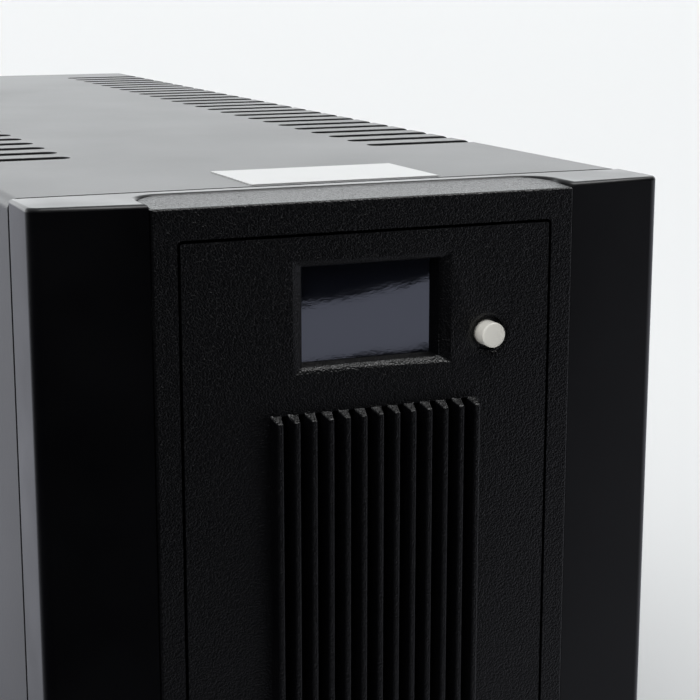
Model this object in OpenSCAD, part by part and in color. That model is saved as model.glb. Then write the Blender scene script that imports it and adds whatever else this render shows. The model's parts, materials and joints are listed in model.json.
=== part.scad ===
// Tower uninterruptible power supply: a steel case with a plastic front bezel, a display, one
// power button, four sealed batteries below and the power electronics above them.
// Millimetres. +X right, +Y to the rear, +Z up. Origin on the floor, midway along and across.

/* [Case] */
// Width of the case
case_w = 151; // [144:1:152]
// Depth from the front panel's face to the rear panel's face
case_d = 458; // [452:2:480]
// Height from the floor to the top of the case
case_h = 220; // [218:1:236]
// Height of the rubber feet
foot_h = 6; // [5:0.5:6]
// Thickness of the steel sheet
sheet = 1; // [0.8:0.1:1]

/* [Bezel] */
// Depth of the plastic hood that carries the front
hood_d = 21.4; // [20:0.2:22]
// Width of the textured front panel between the hood's side strips
panel_w = 100.6; // [96:0.2:102]
// How far the front panel's top runs back into the hood
notch_d = 16.3; // [14:0.1:17]
// How far the side strips sweep back at their outer edges
strip_sweep = 2.5; // [0:0.1:3]
// Width of the display panel set into the front panel
display_w = 88.2; // [86:0.2:90]

/* [Display] */
// Width of the display window
window_w = 31.2; // [28:0.2:32]
// Height of the display window
window_h = 21.5; // [19:0.5:22]
// Diameter of the power button's cap
button_dia = 5.8; // [5:0.1:6]
// Travel of the power button
button_travel = 1; // [0.5:0.1:1]

/* [Vents] */
// Number of ribs in the front grille
rib_count = 13; // [8:1:13]
// Pitch of the ribs in the front grille
rib_pitch = 4; // [3.6:0.1:4]
// Number of vent slots along each top edge of the cover
slot_count = 25; // [10:1:25]
// Pitch of the vent slots
slot_pitch = 13.8; // [12:0.1:13.8]
// Width of a vent slot
slot_w = 6; // [4:0.5:7]

/* [Hidden] */
$fn = 48;

fit = 0.25;                        // gap between neighbouring mouldings
half_w = case_w / 2;
cover_gap = 0.5;                   // shadow gap between the hood and the cover
bend_r = 2.5;                      // outer radius of the cover's bends
inner_half = half_w - sheet - 0.2; // half width of what slides inside the cover
lip_d = 6;                         // length of the hood's lip inside the cover
wall_y = hood_d + lip_d + 0.6;     // front face of the chassis front wall
rear_in = case_d - sheet;          // inner face of the rear panel
floor_z = foot_h + sheet;          // top face of the chassis floor

plastic_t = 2.5;                   // wall thickness of the mouldings
panel_half = panel_w / 2;
panel_bottom = foot_h + 9;
panel_drop_front = 1.1;            // the panel's top lies this far under the hood at the front
panel_drop_back = 0.3;
strip_set = 0.6;                   // the side strips lie this far behind the panel's face
notch_r = 7;
hood_corner_r = 3;
groove_w = 0.7;                    // groove round the display panel
display_half = display_w / 2;
display_top = case_h - 8.7;
display_bottom = foot_h + 18;
display_r = 0.6;

window_x = 0.3;
window_z = case_h - 26.7;          // centre of the display window
window_depth = 4;
button_x = 29;
button_z = case_h - 33.5;
icon_z = case_h - 21.7;
button_out = 3;                    // the cap stands this far out of the panel
board_y = 14;                      // front face of the display's circuit board
boss_xs = [-37, 37];
boss_zs = [window_z - 17, window_z + 11];

grille_x = 1;                      // centre of the grille
rib_w = 2.6;                       // width of a rib at the panel's face
grille_half = (rib_pitch * (rib_count - 1) + rib_w) / 2;
grille_top = case_h - 48.1;
grille_bottom = foot_h + 32;
rib_tip_w = 1.4;                   // width of a rib at its front
rib_out = 3;                       // the ribs stand this far out of the panel
rib_drop = 1;                      // how much shorter a rib is at each end of its tip
rib_d = 5;

slot_first = 99;                   // centre of the first vent slot behind the front face
slot_inner_x = half_w - 33.5;
slot_drop = 24;                    // how far a vent slot runs down the cover's side

clip_zs = [foot_h + 122, case_h - 16];   // heights of the bezel's snap hooks

battery_l = 151;
battery_w = 65;
battery_h = 94;
battery_y = [32, 185];             // front faces of the two battery pairs
tray_half = battery_w + 1.7;
battery_z = floor_z + 0.2 + sheet + 0.1;
bay_half = tray_half + 2.5;
bay_top = floor_z + 106;
bay_end = 400;
board_z = bay_top + 8;             // underside of the main circuit board
board_t = 1.6;
deck_z = board_z + board_t;        // top of the main circuit board
control_y = 50;                    // front face of the control board
ribbon_x = 14;
ribbon_z = window_z - 13;

fan_x = 24;
fan_z = case_h - 54;
fan_size = 80;
fan_t = 25;
fan_bore_r = 38;
fan_hole = 35.75;                  // half the pitch of the fan's screw holes
guard_wire = 1.8;

outlet_xs = [-50, -14];
outlet_zs = [foot_h + 30, foot_h + 58, foot_h + 86];
inlet_x = 40;
inlet_z = foot_h + 30;
breaker_x = 40;
breaker_z = foot_h + 62;
port_z = foot_h + 110.5;
usb_x = -58;
network_xs = [-34, -17];
epo_x = 4;
slot_x = -47;
slot_z = case_h - 52;
foot_x = half_w - 20;
foot_ys = [44, case_d - 42];
side_screw_ys = [60, case_d / 2, case_d - 40];
side_screw_l = 3.6;                // from the cover's face to the tip, clear of the bay
rear_screw_x = half_w - 6.5;
rear_screw_z = case_h - 6.5;
port_d = 18;                       // depth of the signal connectors inside the rear panel

// ---------------------------------------------------------------- helpers

// Everything is drawn with y = 0 on the front panel's face, then moved to the origin.
module from_front() translate([0, -case_d / 2, 0]) children();

// A box between two corners.
module box(a, b) translate(a) cube(b - a);

// A cylinder along +Y from y = 0.
module rod(r, l) rotate([-90, 0, 0]) cylinder(r = r, h = l);

// A cone along +Y from y = 0.
module cone(r1, r2, l) rotate([-90, 0, 0]) cylinder(r1 = r1, r2 = r2, h = l);

// A plate in the XZ plane, l thick along +Y.
module plate(l) translate([0, l, 0]) rotate([90, 0, 0]) linear_extrude(l) children();

// Outline of the case seen from the front, g inside its outer faces, with the cover's bends.
module case_outline(g, bottom = foot_h) {
    translate([-half_w + g, bottom]) square([case_w - 2 * g, case_h - bend_r - bottom]);
    translate([-half_w + bend_r, bottom]) square([case_w - 2 * bend_r, case_h - g - bottom]);
    for (s = [-1, 1]) translate([s * (half_w - bend_r), case_h - bend_r]) circle(r = bend_r - g);
}

// A YZ outline carried along X, from -w/2 to w/2.
module carried(w) rotate([90, 0, 90]) translate([0, 0, -w / 2]) linear_extrude(w) children();

// The points of an arc of radius r about c, from angle a to angle b.
function arc(c, r, a, b, n = 10) =
    [for (i = [0:n]) c + r * [cos(a + (b - a) * i / n), sin(a + (b - a) * i / n)]];

// A rectangle between two corners with round corners, as four discs and two bars.
module round_rect(a, b, r) {
    translate([a.x + r, a.y]) square([b.x - a.x - 2 * r, b.y - a.y]);
    translate([a.x, a.y + r]) square([b.x - a.x, b.y - a.y - 2 * r]);
    for (x = [a.x + r, b.x - r], y = [a.y + r, b.y - r]) translate([x, y]) circle(r = r);
}

// A four-sided taper centred on the Y axis: w1 by h1 at y = 0, w2 by h2 at y = d.
module taper(w1, h1, w2, h2, d) intersection() {
    translate([0, 0, -max(h1, h2)]) linear_extrude(2 * max(h1, h2))
        polygon([[-w1 / 2, 0], [w1 / 2, 0], [w2 / 2, d], [-w2 / 2, d]]);
    carried(2 * max(w1, w2))
        polygon([[0, -h1 / 2], [0, h1 / 2], [d, h2 / 2], [d, -h2 / 2]]);
}

// A pan-head screw with its head's face on y = 0, pointing along -Y into the case.
module pan_screw(head_r, head_h, shank_r, shank_l) {
    difference() {
        rod(head_r, head_h);
        translate([0, head_h - 0.8, 0]) cross_slot(head_r);
    }
    translate([0, -shank_l, 0]) rod(shank_r, shank_l);
}

// The cross recess of a screw head.
module cross_slot(head_r) for (a = [0, 90]) rotate([0, a, 0])
    box([-head_r * 0.6, 0, -0.4], [head_r * 0.6, 1, 0.4]);

// ---------------------------------------------------------------- steel case

module chassis() color([0.72, 0.73, 0.74]) from_front() {
    difference() {
        box([-inner_half, wall_y, foot_h], [inner_half, rear_in - 0.2, floor_z]);
        for (s = [-1, 1], y = foot_ys) translate([s * foot_x, y, foot_h - 1])
            cylinder(r = 1.8, h = 3);
    }
    for (s = [-1, 1]) difference() {
        translate([s * (inner_half - sheet / 2), 0, 0])
            box([-sheet / 2, wall_y + sheet, floor_z], [sheet / 2, rear_in - 12, floor_z + 15]);
        for (y = side_screw_ys) translate([0, y, floor_z + 8]) rotate([0, 90, 0])
            cylinder(r = 1.8, h = case_w + 10, center = true);
    }
    difference() {
        translate([0, wall_y, 0]) plate(sheet) case_outline(sheet + 0.2, floor_z);
        box([-tray_half - 0.6, wall_y - 1, floor_z], [tray_half + 0.6, wall_y + 3, bay_top - 3]);
        for (x = [-56:16:-8], z = [0:14:56])
            translate([x, wall_y - 1, bay_top + 22 + z]) rod(5, 3);
        box([ribbon_x - 13, wall_y - 1, ribbon_z - 3.5], [ribbon_x + 13, wall_y + 3, ribbon_z + 3.5]);
        for (x = [-64, 64], z = clip_zs)
            box([x - 4, wall_y - 1, z - 5], [x + 4, wall_y + 3, z + 5]);
        for (x = [-32, 32]) translate([x, wall_y - 1, bay_top + 2]) rod(2.2, 3);
    }
}

// One vent slot, which starts on the top, crosses the bend and runs down the side.
module vent_slot(y) {
    z0 = case_h - slot_drop;
    r = slot_w / 2;
    box([slot_inner_x + r, y - r, case_h - 10], [half_w + 2, y + r, case_h + 2]);
    translate([slot_inner_x + r, y, case_h - 10]) cylinder(r = r, h = 12);
    box([half_w - 10, y - r, z0 + r], [half_w + 2, y + r, case_h - 5]);
    translate([half_w - 10, y, z0 + r]) rotate([0, 90, 0]) cylinder(r = r, h = 12);
}

module top_cover() color([0.11, 0.11, 0.12]) from_front() {
    difference() {
        translate([0, hood_d + cover_gap, 0]) plate(case_d - hood_d - cover_gap) difference() {
            case_outline(0);
            case_outline(sheet, 0);
        }
        for (i = [0:slot_count - 1], s = [0, 1]) mirror([s, 0, 0])
            vent_slot(slot_first + i * slot_pitch);
        for (y = side_screw_ys) translate([0, y, floor_z + 8]) rotate([0, 90, 0])
            cylinder(r = 3.1, h = case_w + 10, center = true);
    }
    for (s = [-1, 1]) difference() {
        translate([s * rear_screw_x, rear_in - 1.2, 0])
            box([-4, 0, rear_screw_z - 4], [4, sheet, case_h - sheet + 0.1]);
        translate([s * rear_screw_x, rear_in - 3, rear_screw_z]) rod(1.65, 4);
    }
}

module rear_panel() color([0.11, 0.11, 0.12]) from_front() {
    difference() {
        translate([0, rear_in, 0]) plate(sheet) case_outline(sheet + 0.2);
        translate([fan_x, rear_in - 1, fan_z]) rod(fan_bore_r, 4);
        for (sx = [-1, 1], sz = [-1, 1])
            translate([fan_x + sx * fan_hole, rear_in - 1, fan_z + sz * fan_hole]) rod(2.2, 4);
        for (x = outlet_xs, z = outlet_zs) translate([x, rear_in - 1, z]) connector_cutout();
        translate([inlet_x, rear_in - 1, inlet_z]) connector_cutout();
        translate([breaker_x, rear_in - 1, breaker_z]) rod(5.7, 4);
        box([usb_x - 6.2, rear_in - 1, port_z - 5.7], [usb_x + 6.2, case_d + 1, port_z + 5.7]);
        for (x = network_xs)
            box([x - 8.1, rear_in - 1, port_z - 6.9], [x + 8.1, case_d + 1, port_z + 6.9]);
        box([epo_x - 7.2, rear_in - 1, port_z - 5.2], [epo_x + 7.2, case_d + 1, port_z + 5.2]);
        box([slot_x - 14, rear_in - 1, slot_z - 32], [slot_x + 14, case_d + 1, slot_z + 32]);
        for (z = [-37, 37]) translate([slot_x, rear_in - 1, slot_z + z]) rod(1.7, 4);
        translate([62, rear_in - 1, breaker_z]) rod(2.2, 4);
        for (s = [-1, 1]) translate([s * rear_screw_x, rear_in - 1, rear_screw_z]) rod(1.8, 4);
    }
    difference() {
        translate([0, rear_in - 9, 0]) plate(9) difference() {
            case_outline(sheet + 0.2, floor_z + 0.2);
            case_outline(2 * sheet + 0.2, 0);
        }
        for (s = [-1, 1]) translate([s * half_w, rear_in - 10, case_h])
            box([-13, 0, -14], [13, 10, 1]);
    }
}

module battery_bay() color([0.72, 0.73, 0.74]) from_front() {
    y0 = wall_y + sheet + 0.2;
    for (s = [-1, 1]) translate([s * (bay_half - sheet / 2), 0, 0])
        box([-sheet / 2, y0, floor_z], [sheet / 2, bay_end, bay_top - sheet]);
    difference() {
        box([-bay_half, y0, bay_top - sheet], [bay_half, bay_end, bay_top]);
        translate([0, 352, bay_top - 5]) cylinder(r = 11, h = 10);
    }
}

module feet() color([0.05, 0.05, 0.05]) from_front()
    for (s = [-1, 1], y = foot_ys) translate([s * foot_x, y, 0]) difference() {
        union() {
            cylinder(r1 = 8.2, r2 = 9, h = 1.5);
            translate([0, 0, 1.5]) cylinder(r = 9, h = foot_h - 1.5);
        }
        translate([0, 0, -1]) cylinder(r = 4, h = 3.5);
        translate([0, 0, -1]) cylinder(r = 2, h = foot_h + 2);
    }

module foot_screws() color([0.6, 0.6, 0.62]) from_front()
    for (s = [-1, 1], y = foot_ys) translate([s * foot_x, y, 1.2]) {
        cylinder(r = 3.4, h = 1.3);
        cylinder(r = 1.7, h = foot_h - 0.4);
    }

module side_screws() color([0.25, 0.25, 0.27]) from_front()
    for (s = [0, 1], y = side_screw_ys) mirror([s, 0, 0])
        translate([half_w, y, floor_z + 8]) rotate([0, 0, -90]) {
            difference() {
                translate([0, -sheet, 0]) rod(2.9, sheet);
                translate([0, -0.6, 0]) cross_slot(2.9);
            }
            translate([0, -side_screw_l, 0]) rod(1.6, side_screw_l - sheet);
        }

module rear_screws() color([0.25, 0.25, 0.27]) from_front()
    for (s = [-1, 1]) translate([s * rear_screw_x, case_d, rear_screw_z])
        pan_screw(3, 2, 1.6, 6);

module top_label() color([0.93, 0.93, 0.92]) from_front()
    box([-19.4, hood_d + 2.3, case_h], [27.6, hood_d + 31.3, case_h + 0.2]);

module rear_label() color([0.8, 0.8, 0.8]) from_front()
    box([20, case_d, port_z - 11], [64, case_d + 0.2, port_z + 7]);

// ---------------------------------------------------------------- batteries

module battery_tray() color([0.66, 0.67, 0.68]) from_front() {
    z0 = floor_z + 0.2;
    y1 = battery_y[1] + battery_l + 2;
    box([-tray_half, wall_y + 2.6, z0], [tray_half, y1, z0 + sheet]);
    for (s = [-1, 1]) translate([s * (tray_half - sheet / 2), 0, 0])
        box([-sheet / 2, wall_y + 2.6, z0 + sheet], [sheet / 2, y1, z0 + 30]);
    box([-tray_half + sheet, y1 - sheet, z0 + sheet], [tray_half - sheet, y1, z0 + 30]);
}

// One sealed lead-acid battery: a case, a narrower lid and a vent strip on top.
module battery(side, pair) {
    x0 = side < 0 ? -battery_w - 0.4 : 0.4;
    y0 = battery_y[pair];
    from_front() {
        box([x0, y0, battery_z], [x0 + battery_w, y0 + battery_l, battery_z + battery_h - 7]);
        box([x0 + 0.6, y0 + 0.6, battery_z + battery_h - 7],
            [x0 + battery_w - 0.6, y0 + battery_l - 0.6, battery_z + battery_h - 1]);
        box([x0 + 12, y0 + 22, battery_z + battery_h - 1],
            [x0 + battery_w - 12, y0 + battery_l - 22, battery_z + battery_h]);
    }
}

module battery_front_left() color([0.16, 0.17, 0.2]) battery(-1, 0);
module battery_front_right() color([0.16, 0.17, 0.2]) battery(1, 0);
module battery_rear_left() color([0.16, 0.17, 0.2]) battery(-1, 1);
module battery_rear_right() color([0.16, 0.17, 0.2]) battery(1, 1);

// The place of a battery's terminal; end 0 is the front one and end 1 the rear one.
function tab(side, pair, end) =
    [side * 24, battery_y[pair] + (end == 0 ? 9 : battery_l - 9), battery_z + battery_h - 1];

module battery_terminals() color([0.8, 0.7, 0.35]) from_front()
    for (side = [-1, 1], pair = [0, 1], end = [0, 1]) translate(tab(side, pair, end))
        box([-3.15, -0.4, 0], [3.15, 0.4, 6]);

function unit(v) = v / norm(v);

// The direction of a route at its point i: the mean of the runs on its two sides.
function heading(route, i) = unit(
    (i > 0 ? unit(route[i] - route[i - 1]) : [0, 0, 0]) +
    (i < len(route) - 1 ? unit(route[i + 1] - route[i]) : [0, 0, 0]));

// An insulated cable along a route, as one skin with a ring of points at each turn.
module cable(route, r, sides = 10) {
    reference = [1, 0.35, 0.2];
    last = len(route) - 1;
    skin = [for (i = [0:last], k = [0:sides - 1]) let (
        d = heading(route, i),
        u = unit(cross(d, reference)),
        v = cross(d, u)) route[i] + r * (cos(360 * k / sides) * u + sin(360 * k / sides) * v)];
    quads = [for (i = [0:last - 1], k = [0:sides - 1]) let (
        a = i * sides + k,
        b = i * sides + (k + 1) % sides) [a, a + sides, b + sides, b]];
    polyhedron(skin, concat(
        [[for (k = [0:sides - 1]) k]],
        [[for (k = [sides - 1:-1:0]) last * sides + k]], quads));
}

// A push-on receptacle over one battery tab, in its insulating sleeve.
module receptacle(at) translate(at) difference() {
    box([-4, -1.5, 0.6], [4, 1.5, 5.2]);
    box([-3.25, -0.45, 0], [3.25, 0.45, 6]);
}

module battery_cable_red() color([0.7, 0.06, 0.05]) from_front() {
    t = tab(1, 1, 1);
    receptacle(t);
    cable([t + [0, 1.6, 3], [t.x, 341, t.z + 3], [t.x - 5, 348, t.z + 3], [10, 352, t.z + 3],
           [6, 352, t.z + 6], [6, 352, board_z]], 2);
}

module battery_cable_black() color([0.03, 0.03, 0.03]) from_front() {
    t = tab(-1, 1, 1);
    receptacle(t);
    cable([t + [0, 1.6, 3], [t.x, 341, t.z + 3], [t.x + 5, 348, t.z + 3], [-10, 352, t.z + 3],
           [-6, 352, t.z + 6], [-6, 352, board_z]], 2);
    for (s = [-1, 1]) {
        receptacle(tab(s, 0, 1));
        receptacle(tab(s, 1, 0));
        receptacle(tab(s, 0, 0));
        cable([tab(s, 0, 1) + [0, 1.6, 3], tab(s, 1, 0) + [0, -1.6, 3]], 2);
    }
    cable([tab(-1, 0, 0) + [4.1, 0, 3], tab(1, 0, 0) + [-4.1, 0, 3]], 2);
}

module battery_retainer() color([0.66, 0.67, 0.68]) from_front() difference() {
    box([-69, wall_y - sheet, floor_z + 2], [69, wall_y, bay_top + 6]);
    for (x = [-32, 32]) translate([x, wall_y - 3, bay_top + 2]) rod(2.2, 4);
    for (x = [-50:10:50], z = [20:12:80])
        translate([x, wall_y - 3, floor_z + z]) rod(2.5, 4);
}

// Thumb screws with a fluted head, pointing into the case.
module retainer_screws() color([0.75, 0.75, 0.77]) from_front()
    for (x = [-32, 32]) translate([x, wall_y - sheet - 7, bay_top + 2]) {
        difference() {
            rod(4.5, 7);
            for (a = [0:30:330]) rotate([0, a, 0]) translate([4.7, -1, 0]) rod(0.7, 9, $fn = 16);
        }
        translate([0, 7, 0]) rod(2, 7);
    }

// ---------------------------------------------------------------- power electronics

module main_board() color([0.05, 0.3, 0.14]) from_front()
    box([-64, 40, board_z], [64, 392, deck_z]);

module board_standoffs() color([0.8, 0.7, 0.35]) from_front()
    for (x = [-58, 58], y = [50, 160, 270, 382]) translate([x, y, bay_top])
        cylinder(r = 3, h = board_z - bay_top, $fn = 6);

// A finned aluminium bar standing on the board, fins towards the outside.
module heatsink() {
    fin_n = 7;
    box([0, 60, deck_z], [4, 330, deck_z + 64]);
    for (i = [0:fin_n - 1])
        box([4, 60, deck_z + 4 + i * 9], [24, 330, deck_z + 5.6 + i * 9]);
}

module heatsink_right() color([0.75, 0.76, 0.78]) from_front()
    translate([37, 0, 0]) heatsink();
module heatsink_left() color([0.75, 0.76, 0.78]) from_front()
    mirror([1, 0, 0]) translate([37, 0, 0]) heatsink();

module power_transistors() color([0.06, 0.06, 0.06]) from_front()
    for (s = [-1, 1], i = [0:7]) {
        y = 80 + i * 32;
        x0 = s > 0 ? 32.2 : -37;
        box([x0, y, deck_z + 18], [x0 + 4.8, y + 16, deck_z + 39]);
        for (leg = [2.6, 8, 13.4])
            box([x0 + 2, y + leg - 0.6, deck_z], [x0 + 2.8, y + leg + 0.6, deck_z + 18]);
    }

module bus_capacitors() color([0.08, 0.1, 0.2]) from_front()
    for (x = [-14, 14], y = [76, 106]) translate([x, y, deck_z]) {
        cylinder(r = 12.5, h = 45);
        translate([0, 0, 45]) cylinder(r1 = 12.5, r2 = 11.5, h = 1);
    }

module chokes() color([0.72, 0.36, 0.14]) from_front()
    for (y = [160, 225]) {
        translate([0, y, deck_z + 25.6]) rotate([90, 0, 0])
            rotate_extrude() translate([16, 0]) circle(r = 9);
        box([-12, y - 8, deck_z], [12, y + 8, deck_z + 2.4]);
    }

module charger_transformer() color([0.2, 0.19, 0.18]) from_front() {
    difference() {
        box([-21, 262, deck_z + 4], [21, 290, deck_z + 40]);
        box([-14, 261, deck_z + 11], [-7, 291, deck_z + 33]);
        box([7, 261, deck_z + 11], [14, 291, deck_z + 33]);
    }
    box([-13.5, 257, deck_z], [13.5, 261.8, deck_z + 32.5]);
    box([-13.5, 290.2, deck_z], [13.5, 295, deck_z + 32.5]);
    box([-10, 261.8, deck_z], [10, 290.2, deck_z + 4]);
}

module relays() color([0.1, 0.2, 0.45]) from_front()
    for (x = [-50, -24, 2, 28]) box([x, 342, deck_z], [x + 20, 358, deck_z + 24]);

// Upright board behind the front wall; the display's ribbon plugs into its header.
module control_board() color([0.05, 0.3, 0.14]) from_front() {
    difference() {
        box([-30, control_y, deck_z], [ribbon_x + 12, control_y + board_t, ribbon_z + 10]);
        for (x = [-20:16:12], z = [30, 48]) translate([x, control_y - 1, deck_z + z]) rod(3, 4);
    }
    box([-24, control_y - 2, deck_z + 8], [-10, control_y, deck_z + 22]);
    box([0, control_y - 2, deck_z + 8], [10, control_y, deck_z + 18]);
    difference() {
        box([ribbon_x - 10.5, control_y - 8, ribbon_z - 4], [ribbon_x + 10.5, control_y, ribbon_z + 4]);
        box([ribbon_x - 9.2, control_y - 9, ribbon_z - 2.7],
            [ribbon_x + 9.2, control_y - 1, ribbon_z + 2.7]);
    }
}

module fan_frame() color([0.05, 0.05, 0.055]) from_front()
    translate([fan_x, rear_in - 0.1, fan_z]) difference() {
        union() {
            translate([0, -fan_t, 0]) plate(fan_t) difference() {
                square(fan_size, center = true);
                circle(r = fan_bore_r);
            }
            translate([0, -3, 0]) plate(2.6) difference() {
                union() {
                    circle(r = 16);
                    for (a = [45:90:315]) rotate(a) translate([14, -1.5])
                        square([fan_bore_r - 13, 3]);
                }
                circle(r = 1.56);
            }
        }
        for (sx = [-1, 1], sz = [-1, 1])
            translate([sx * fan_hole, -fan_t - 1, sz * fan_hole]) rod(2.2, fan_t + 2);
    }

// A hub with pitched blades and a steel-thin shaft that turns in the fan frame's bush.
module fan_rotor() color([0.07, 0.07, 0.075]) from_front()
    translate([fan_x, rear_in - 0.1, fan_z]) {
        difference() {
            translate([0, -23, 0]) rod(17, 19);
            translate([0, -20, 0]) rod(15, 17);
        }
        translate([0, -21, 0]) rod(1.5, 20.5);
        for (i = [0:6]) rotate([0, i * 360 / 7, 0]) intersection() {
            translate([0, -14, 0]) rotate([40, 0, 0])
                box([16.5, -11, -0.8], [37, 11, 0.8]);
            translate([0, -23, 0]) difference() {
                rod(36.6, 19);
                translate([0, -1, 0]) rod(16.5, 21);
            }
        }
    }

// Finger guard: round wire rings on four spokes, with an eyelet at each corner.
module fan_guard() color([0.8, 0.8, 0.82]) from_front()
    translate([fan_x, case_d, fan_z]) {
        for (r = [10, 17, 24, 31, 38]) translate([0, guard_wire / 2, 0]) rotate([90, 0, 0])
            rotate_extrude() translate([r, 0]) circle(r = guard_wire / 2, $fn = 16);
        for (a = [45:90:315]) rotate([0, a, 0])
            box([10, 0, -0.9], [fan_hole * sqrt(2) - 3, 1.2, 0.9]);
        for (sx = [-1, 1], sz = [-1, 1]) translate([sx * fan_hole, 0, sz * fan_hole])
            difference() {
                rod(4, 1);
                translate([0, -1, 0]) rod(2.2, 3);
            }
    }

module fan_screws() color([0.25, 0.25, 0.27]) from_front()
    for (sx = [-1, 1], sz = [-1, 1])
        translate([fan_x + sx * fan_hole, case_d + 1, fan_z + sz * fan_hole])
            pan_screw(3.6, 1.9, 2, 12);

// ---------------------------------------------------------------- rear connectors

// Outline shared by the mains connectors: a rectangle with its two upper corners cut.
module connector_outline(w, h, cut) polygon([
    [-w / 2, -h / 2], [w / 2, -h / 2], [w / 2, h / 2 - cut],
    [w / 2 - cut, h / 2], [-w / 2 + cut, h / 2], [-w / 2, h / 2 - cut]]);

module connector_cutout() plate(4) connector_outline(27.6, 20.6, 5);

// The flange and body of one mains connector, face at y = 0, body towards -Y.
module connector_body() {
    plate(2) round_rect([-15.5, -12], [15.5, 12], 1.5);
    translate([0, -22, 0]) plate(22) connector_outline(27.2, 20.2, 5);
}

module ac_inlet() color([0.04, 0.04, 0.04]) from_front()
    translate([inlet_x, case_d, inlet_z]) difference() {
        connector_body();
        translate([0, -14, 0]) plate(20) connector_outline(24.4, 16.8, 4.5);
        for (p = [[-7, -2], [7, -2], [0, 2]]) translate([p.x, -23, p.y])
            box([-1.05, 0, -2.05], [1.05, 15, 2.05]);
    }

module inlet_pins() color([0.8, 0.8, 0.82]) from_front()
    translate([inlet_x, case_d, inlet_z])
        for (p = [[-7, -2], [7, -2], [0, 2]]) translate([p.x, 0, p.y])
            box([-1, -26, -2], [1, -1, 2]);

// Female mains outlets: a moat round a core with three contact slots.
module outlets() color([0.04, 0.04, 0.04]) from_front()
    for (x = outlet_xs, z = outlet_zs) translate([x, case_d, z]) difference() {
        connector_body();
        translate([0, -15, 0]) plate(20) difference() {
            connector_outline(25, 17.6, 4.6);
            connector_outline(20.6, 13.2, 3.4);
        }
        for (p = [[-7, -1.4], [7, -1.4], [0, 2.4]]) translate([p.x, -15, p.y])
            box([-1.2, 0, -2.4], [1.2, 20, 2.4]);
        translate([0, 1, 0]) plate(2) connector_outline(20.8, 13.4, 3.4);
    }

module circuit_breaker() color([0.05, 0.05, 0.05]) from_front()
    translate([breaker_x, rear_in, breaker_z]) difference() {
        union() {
            box([-10, -32, -16], [10, 0, 16]);
            rod(5.5, sheet + 2.6);
        }
        translate([0, -8, 0]) rod(3.3, 14);
    }

module breaker_nut() color([0.8, 0.8, 0.82]) from_front()
    translate([breaker_x, case_d, breaker_z]) difference() {
        rotate([-90, 0, 0]) cylinder(r = 8.2, h = 2, $fn = 6);
        translate([0, -1, 0]) rod(5.6, 4);
    }

module breaker_button() color([0.85, 0.85, 0.83]) from_front()
    translate([breaker_x, rear_in, breaker_z]) {
        translate([0, -4.8, 0]) rod(3.2, sheet + 2.6 + 4.8);
    }

module usb_port() color([0.8, 0.8, 0.82]) from_front()
    translate([usb_x, rear_in, port_z]) difference() {
        box([-6, -port_d, -5.5], [6, sheet + 0.6, 5.5]);
        translate([0, -12, 0]) plate(16) connector_outline(8.5, 7.8, 1.6);
    }

module network_ports() color([0.08, 0.08, 0.085]) from_front()
    for (x = network_xs) translate([x, rear_in, port_z]) difference() {
        box([-7.9, -port_d, -6.7], [7.9, sheet + 0.6, 6.7]);
        box([-5.9, -12, -4.4], [5.9, 4, 3]);
        box([-3.2, -12, 2], [3.2, 4, 5.2]);
    }

module epo_terminal() color([0.1, 0.42, 0.2]) from_front()
    translate([epo_x, rear_in, port_z]) difference() {
        box([-7, -port_d, -5], [7, sheet + 1.4, 5]);
        for (x = [-3.2, 3.2]) {
            box([x - 2.2, -8, -3.8], [x + 2.2, 4, 0.2]);
            translate([x, -8, 2.4]) rod(1.4, 12);
        }
    }

module interface_board() color([0.05, 0.3, 0.14]) from_front() {
    y0 = rear_in - port_d - board_t;
    box([-66, y0, port_z - 9], [16, y0 + board_t, port_z + 9]);
}

module slot_cover() color([0.11, 0.11, 0.12]) from_front()
    translate([slot_x, case_d, slot_z]) difference() {
        box([-17, 0, -42], [17, 1.2, 42]);
        for (z = [-37, 37]) translate([0, -1, z]) rod(1.7, 3);
    }

module slot_cover_screws() color([0.25, 0.25, 0.27]) from_front()
    for (z = [-37, 37]) translate([slot_x, case_d + 1.2, slot_z + z]) pan_screw(2.8, 1.8, 1.5, 6);

module earth_screw() color([0.8, 0.7, 0.35]) from_front()
    translate([62, case_d, breaker_z]) pan_screw(3.6, 2.4, 2, 8);

// ---------------------------------------------------------------- front bezel

// Plan outline of the hood: the side strips sweep back and end in round corners.
function hood_plan(inset) = let (
    x1 = half_w - inset,
    y0 = strip_set + inset,
    y1 = strip_set + strip_sweep + inset,
    r = hood_corner_r)
    concat(
        [[-x1, hood_d + 1]],
        arc([-x1 + r, y1 + r], r, 180, 262, 6),
        [[-panel_half, y0], [panel_half, y0]],
        arc([x1 - r, y1 + r], r, 278, 360, 6),
        [[x1, hood_d + 1]]);

// The notch in the hood's top, grown by g.
module notch_plan(g) round_rect([-panel_half - g, -20], [panel_half + g, notch_d + g], notch_r + g);

module hood() color([0.12, 0.12, 0.125]) from_front() {
    difference() {
        intersection() {
            translate([0, 0, foot_h]) linear_extrude(case_h - foot_h)
                polygon(hood_plan(0));
            box([-half_w, -1, foot_h], [half_w, hood_d, case_h]);
        }
        translate([0, 0, foot_h + plastic_t]) linear_extrude(case_h - foot_h - 2 * plastic_t)
            polygon(hood_plan(plastic_t));
        box([-half_w + plastic_t, 6, foot_h + plastic_t],
            [half_w - plastic_t, hood_d + 1, case_h - plastic_t]);
        box([-panel_half - fit, -2, panel_bottom - fit], [panel_half + fit, 6, case_h + 1]);
        translate([0, 0, case_h - plastic_t - 1]) linear_extrude(6) notch_plan(fit);
    }
    difference() {
        translate([0, hood_d - 3, 0]) plate(lip_d + 3)
            case_outline(sheet + 0.2, foot_h + 1.2);
        box([-inner_half + 1.4, hood_d - 4, foot_h + 2.6],
            [inner_half - 1.4, hood_d + lip_d + 1, case_h - sheet - 1.6]);
    }
    for (x = [-64, 64], z = clip_zs) snap_hook(x, z);
}

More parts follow.
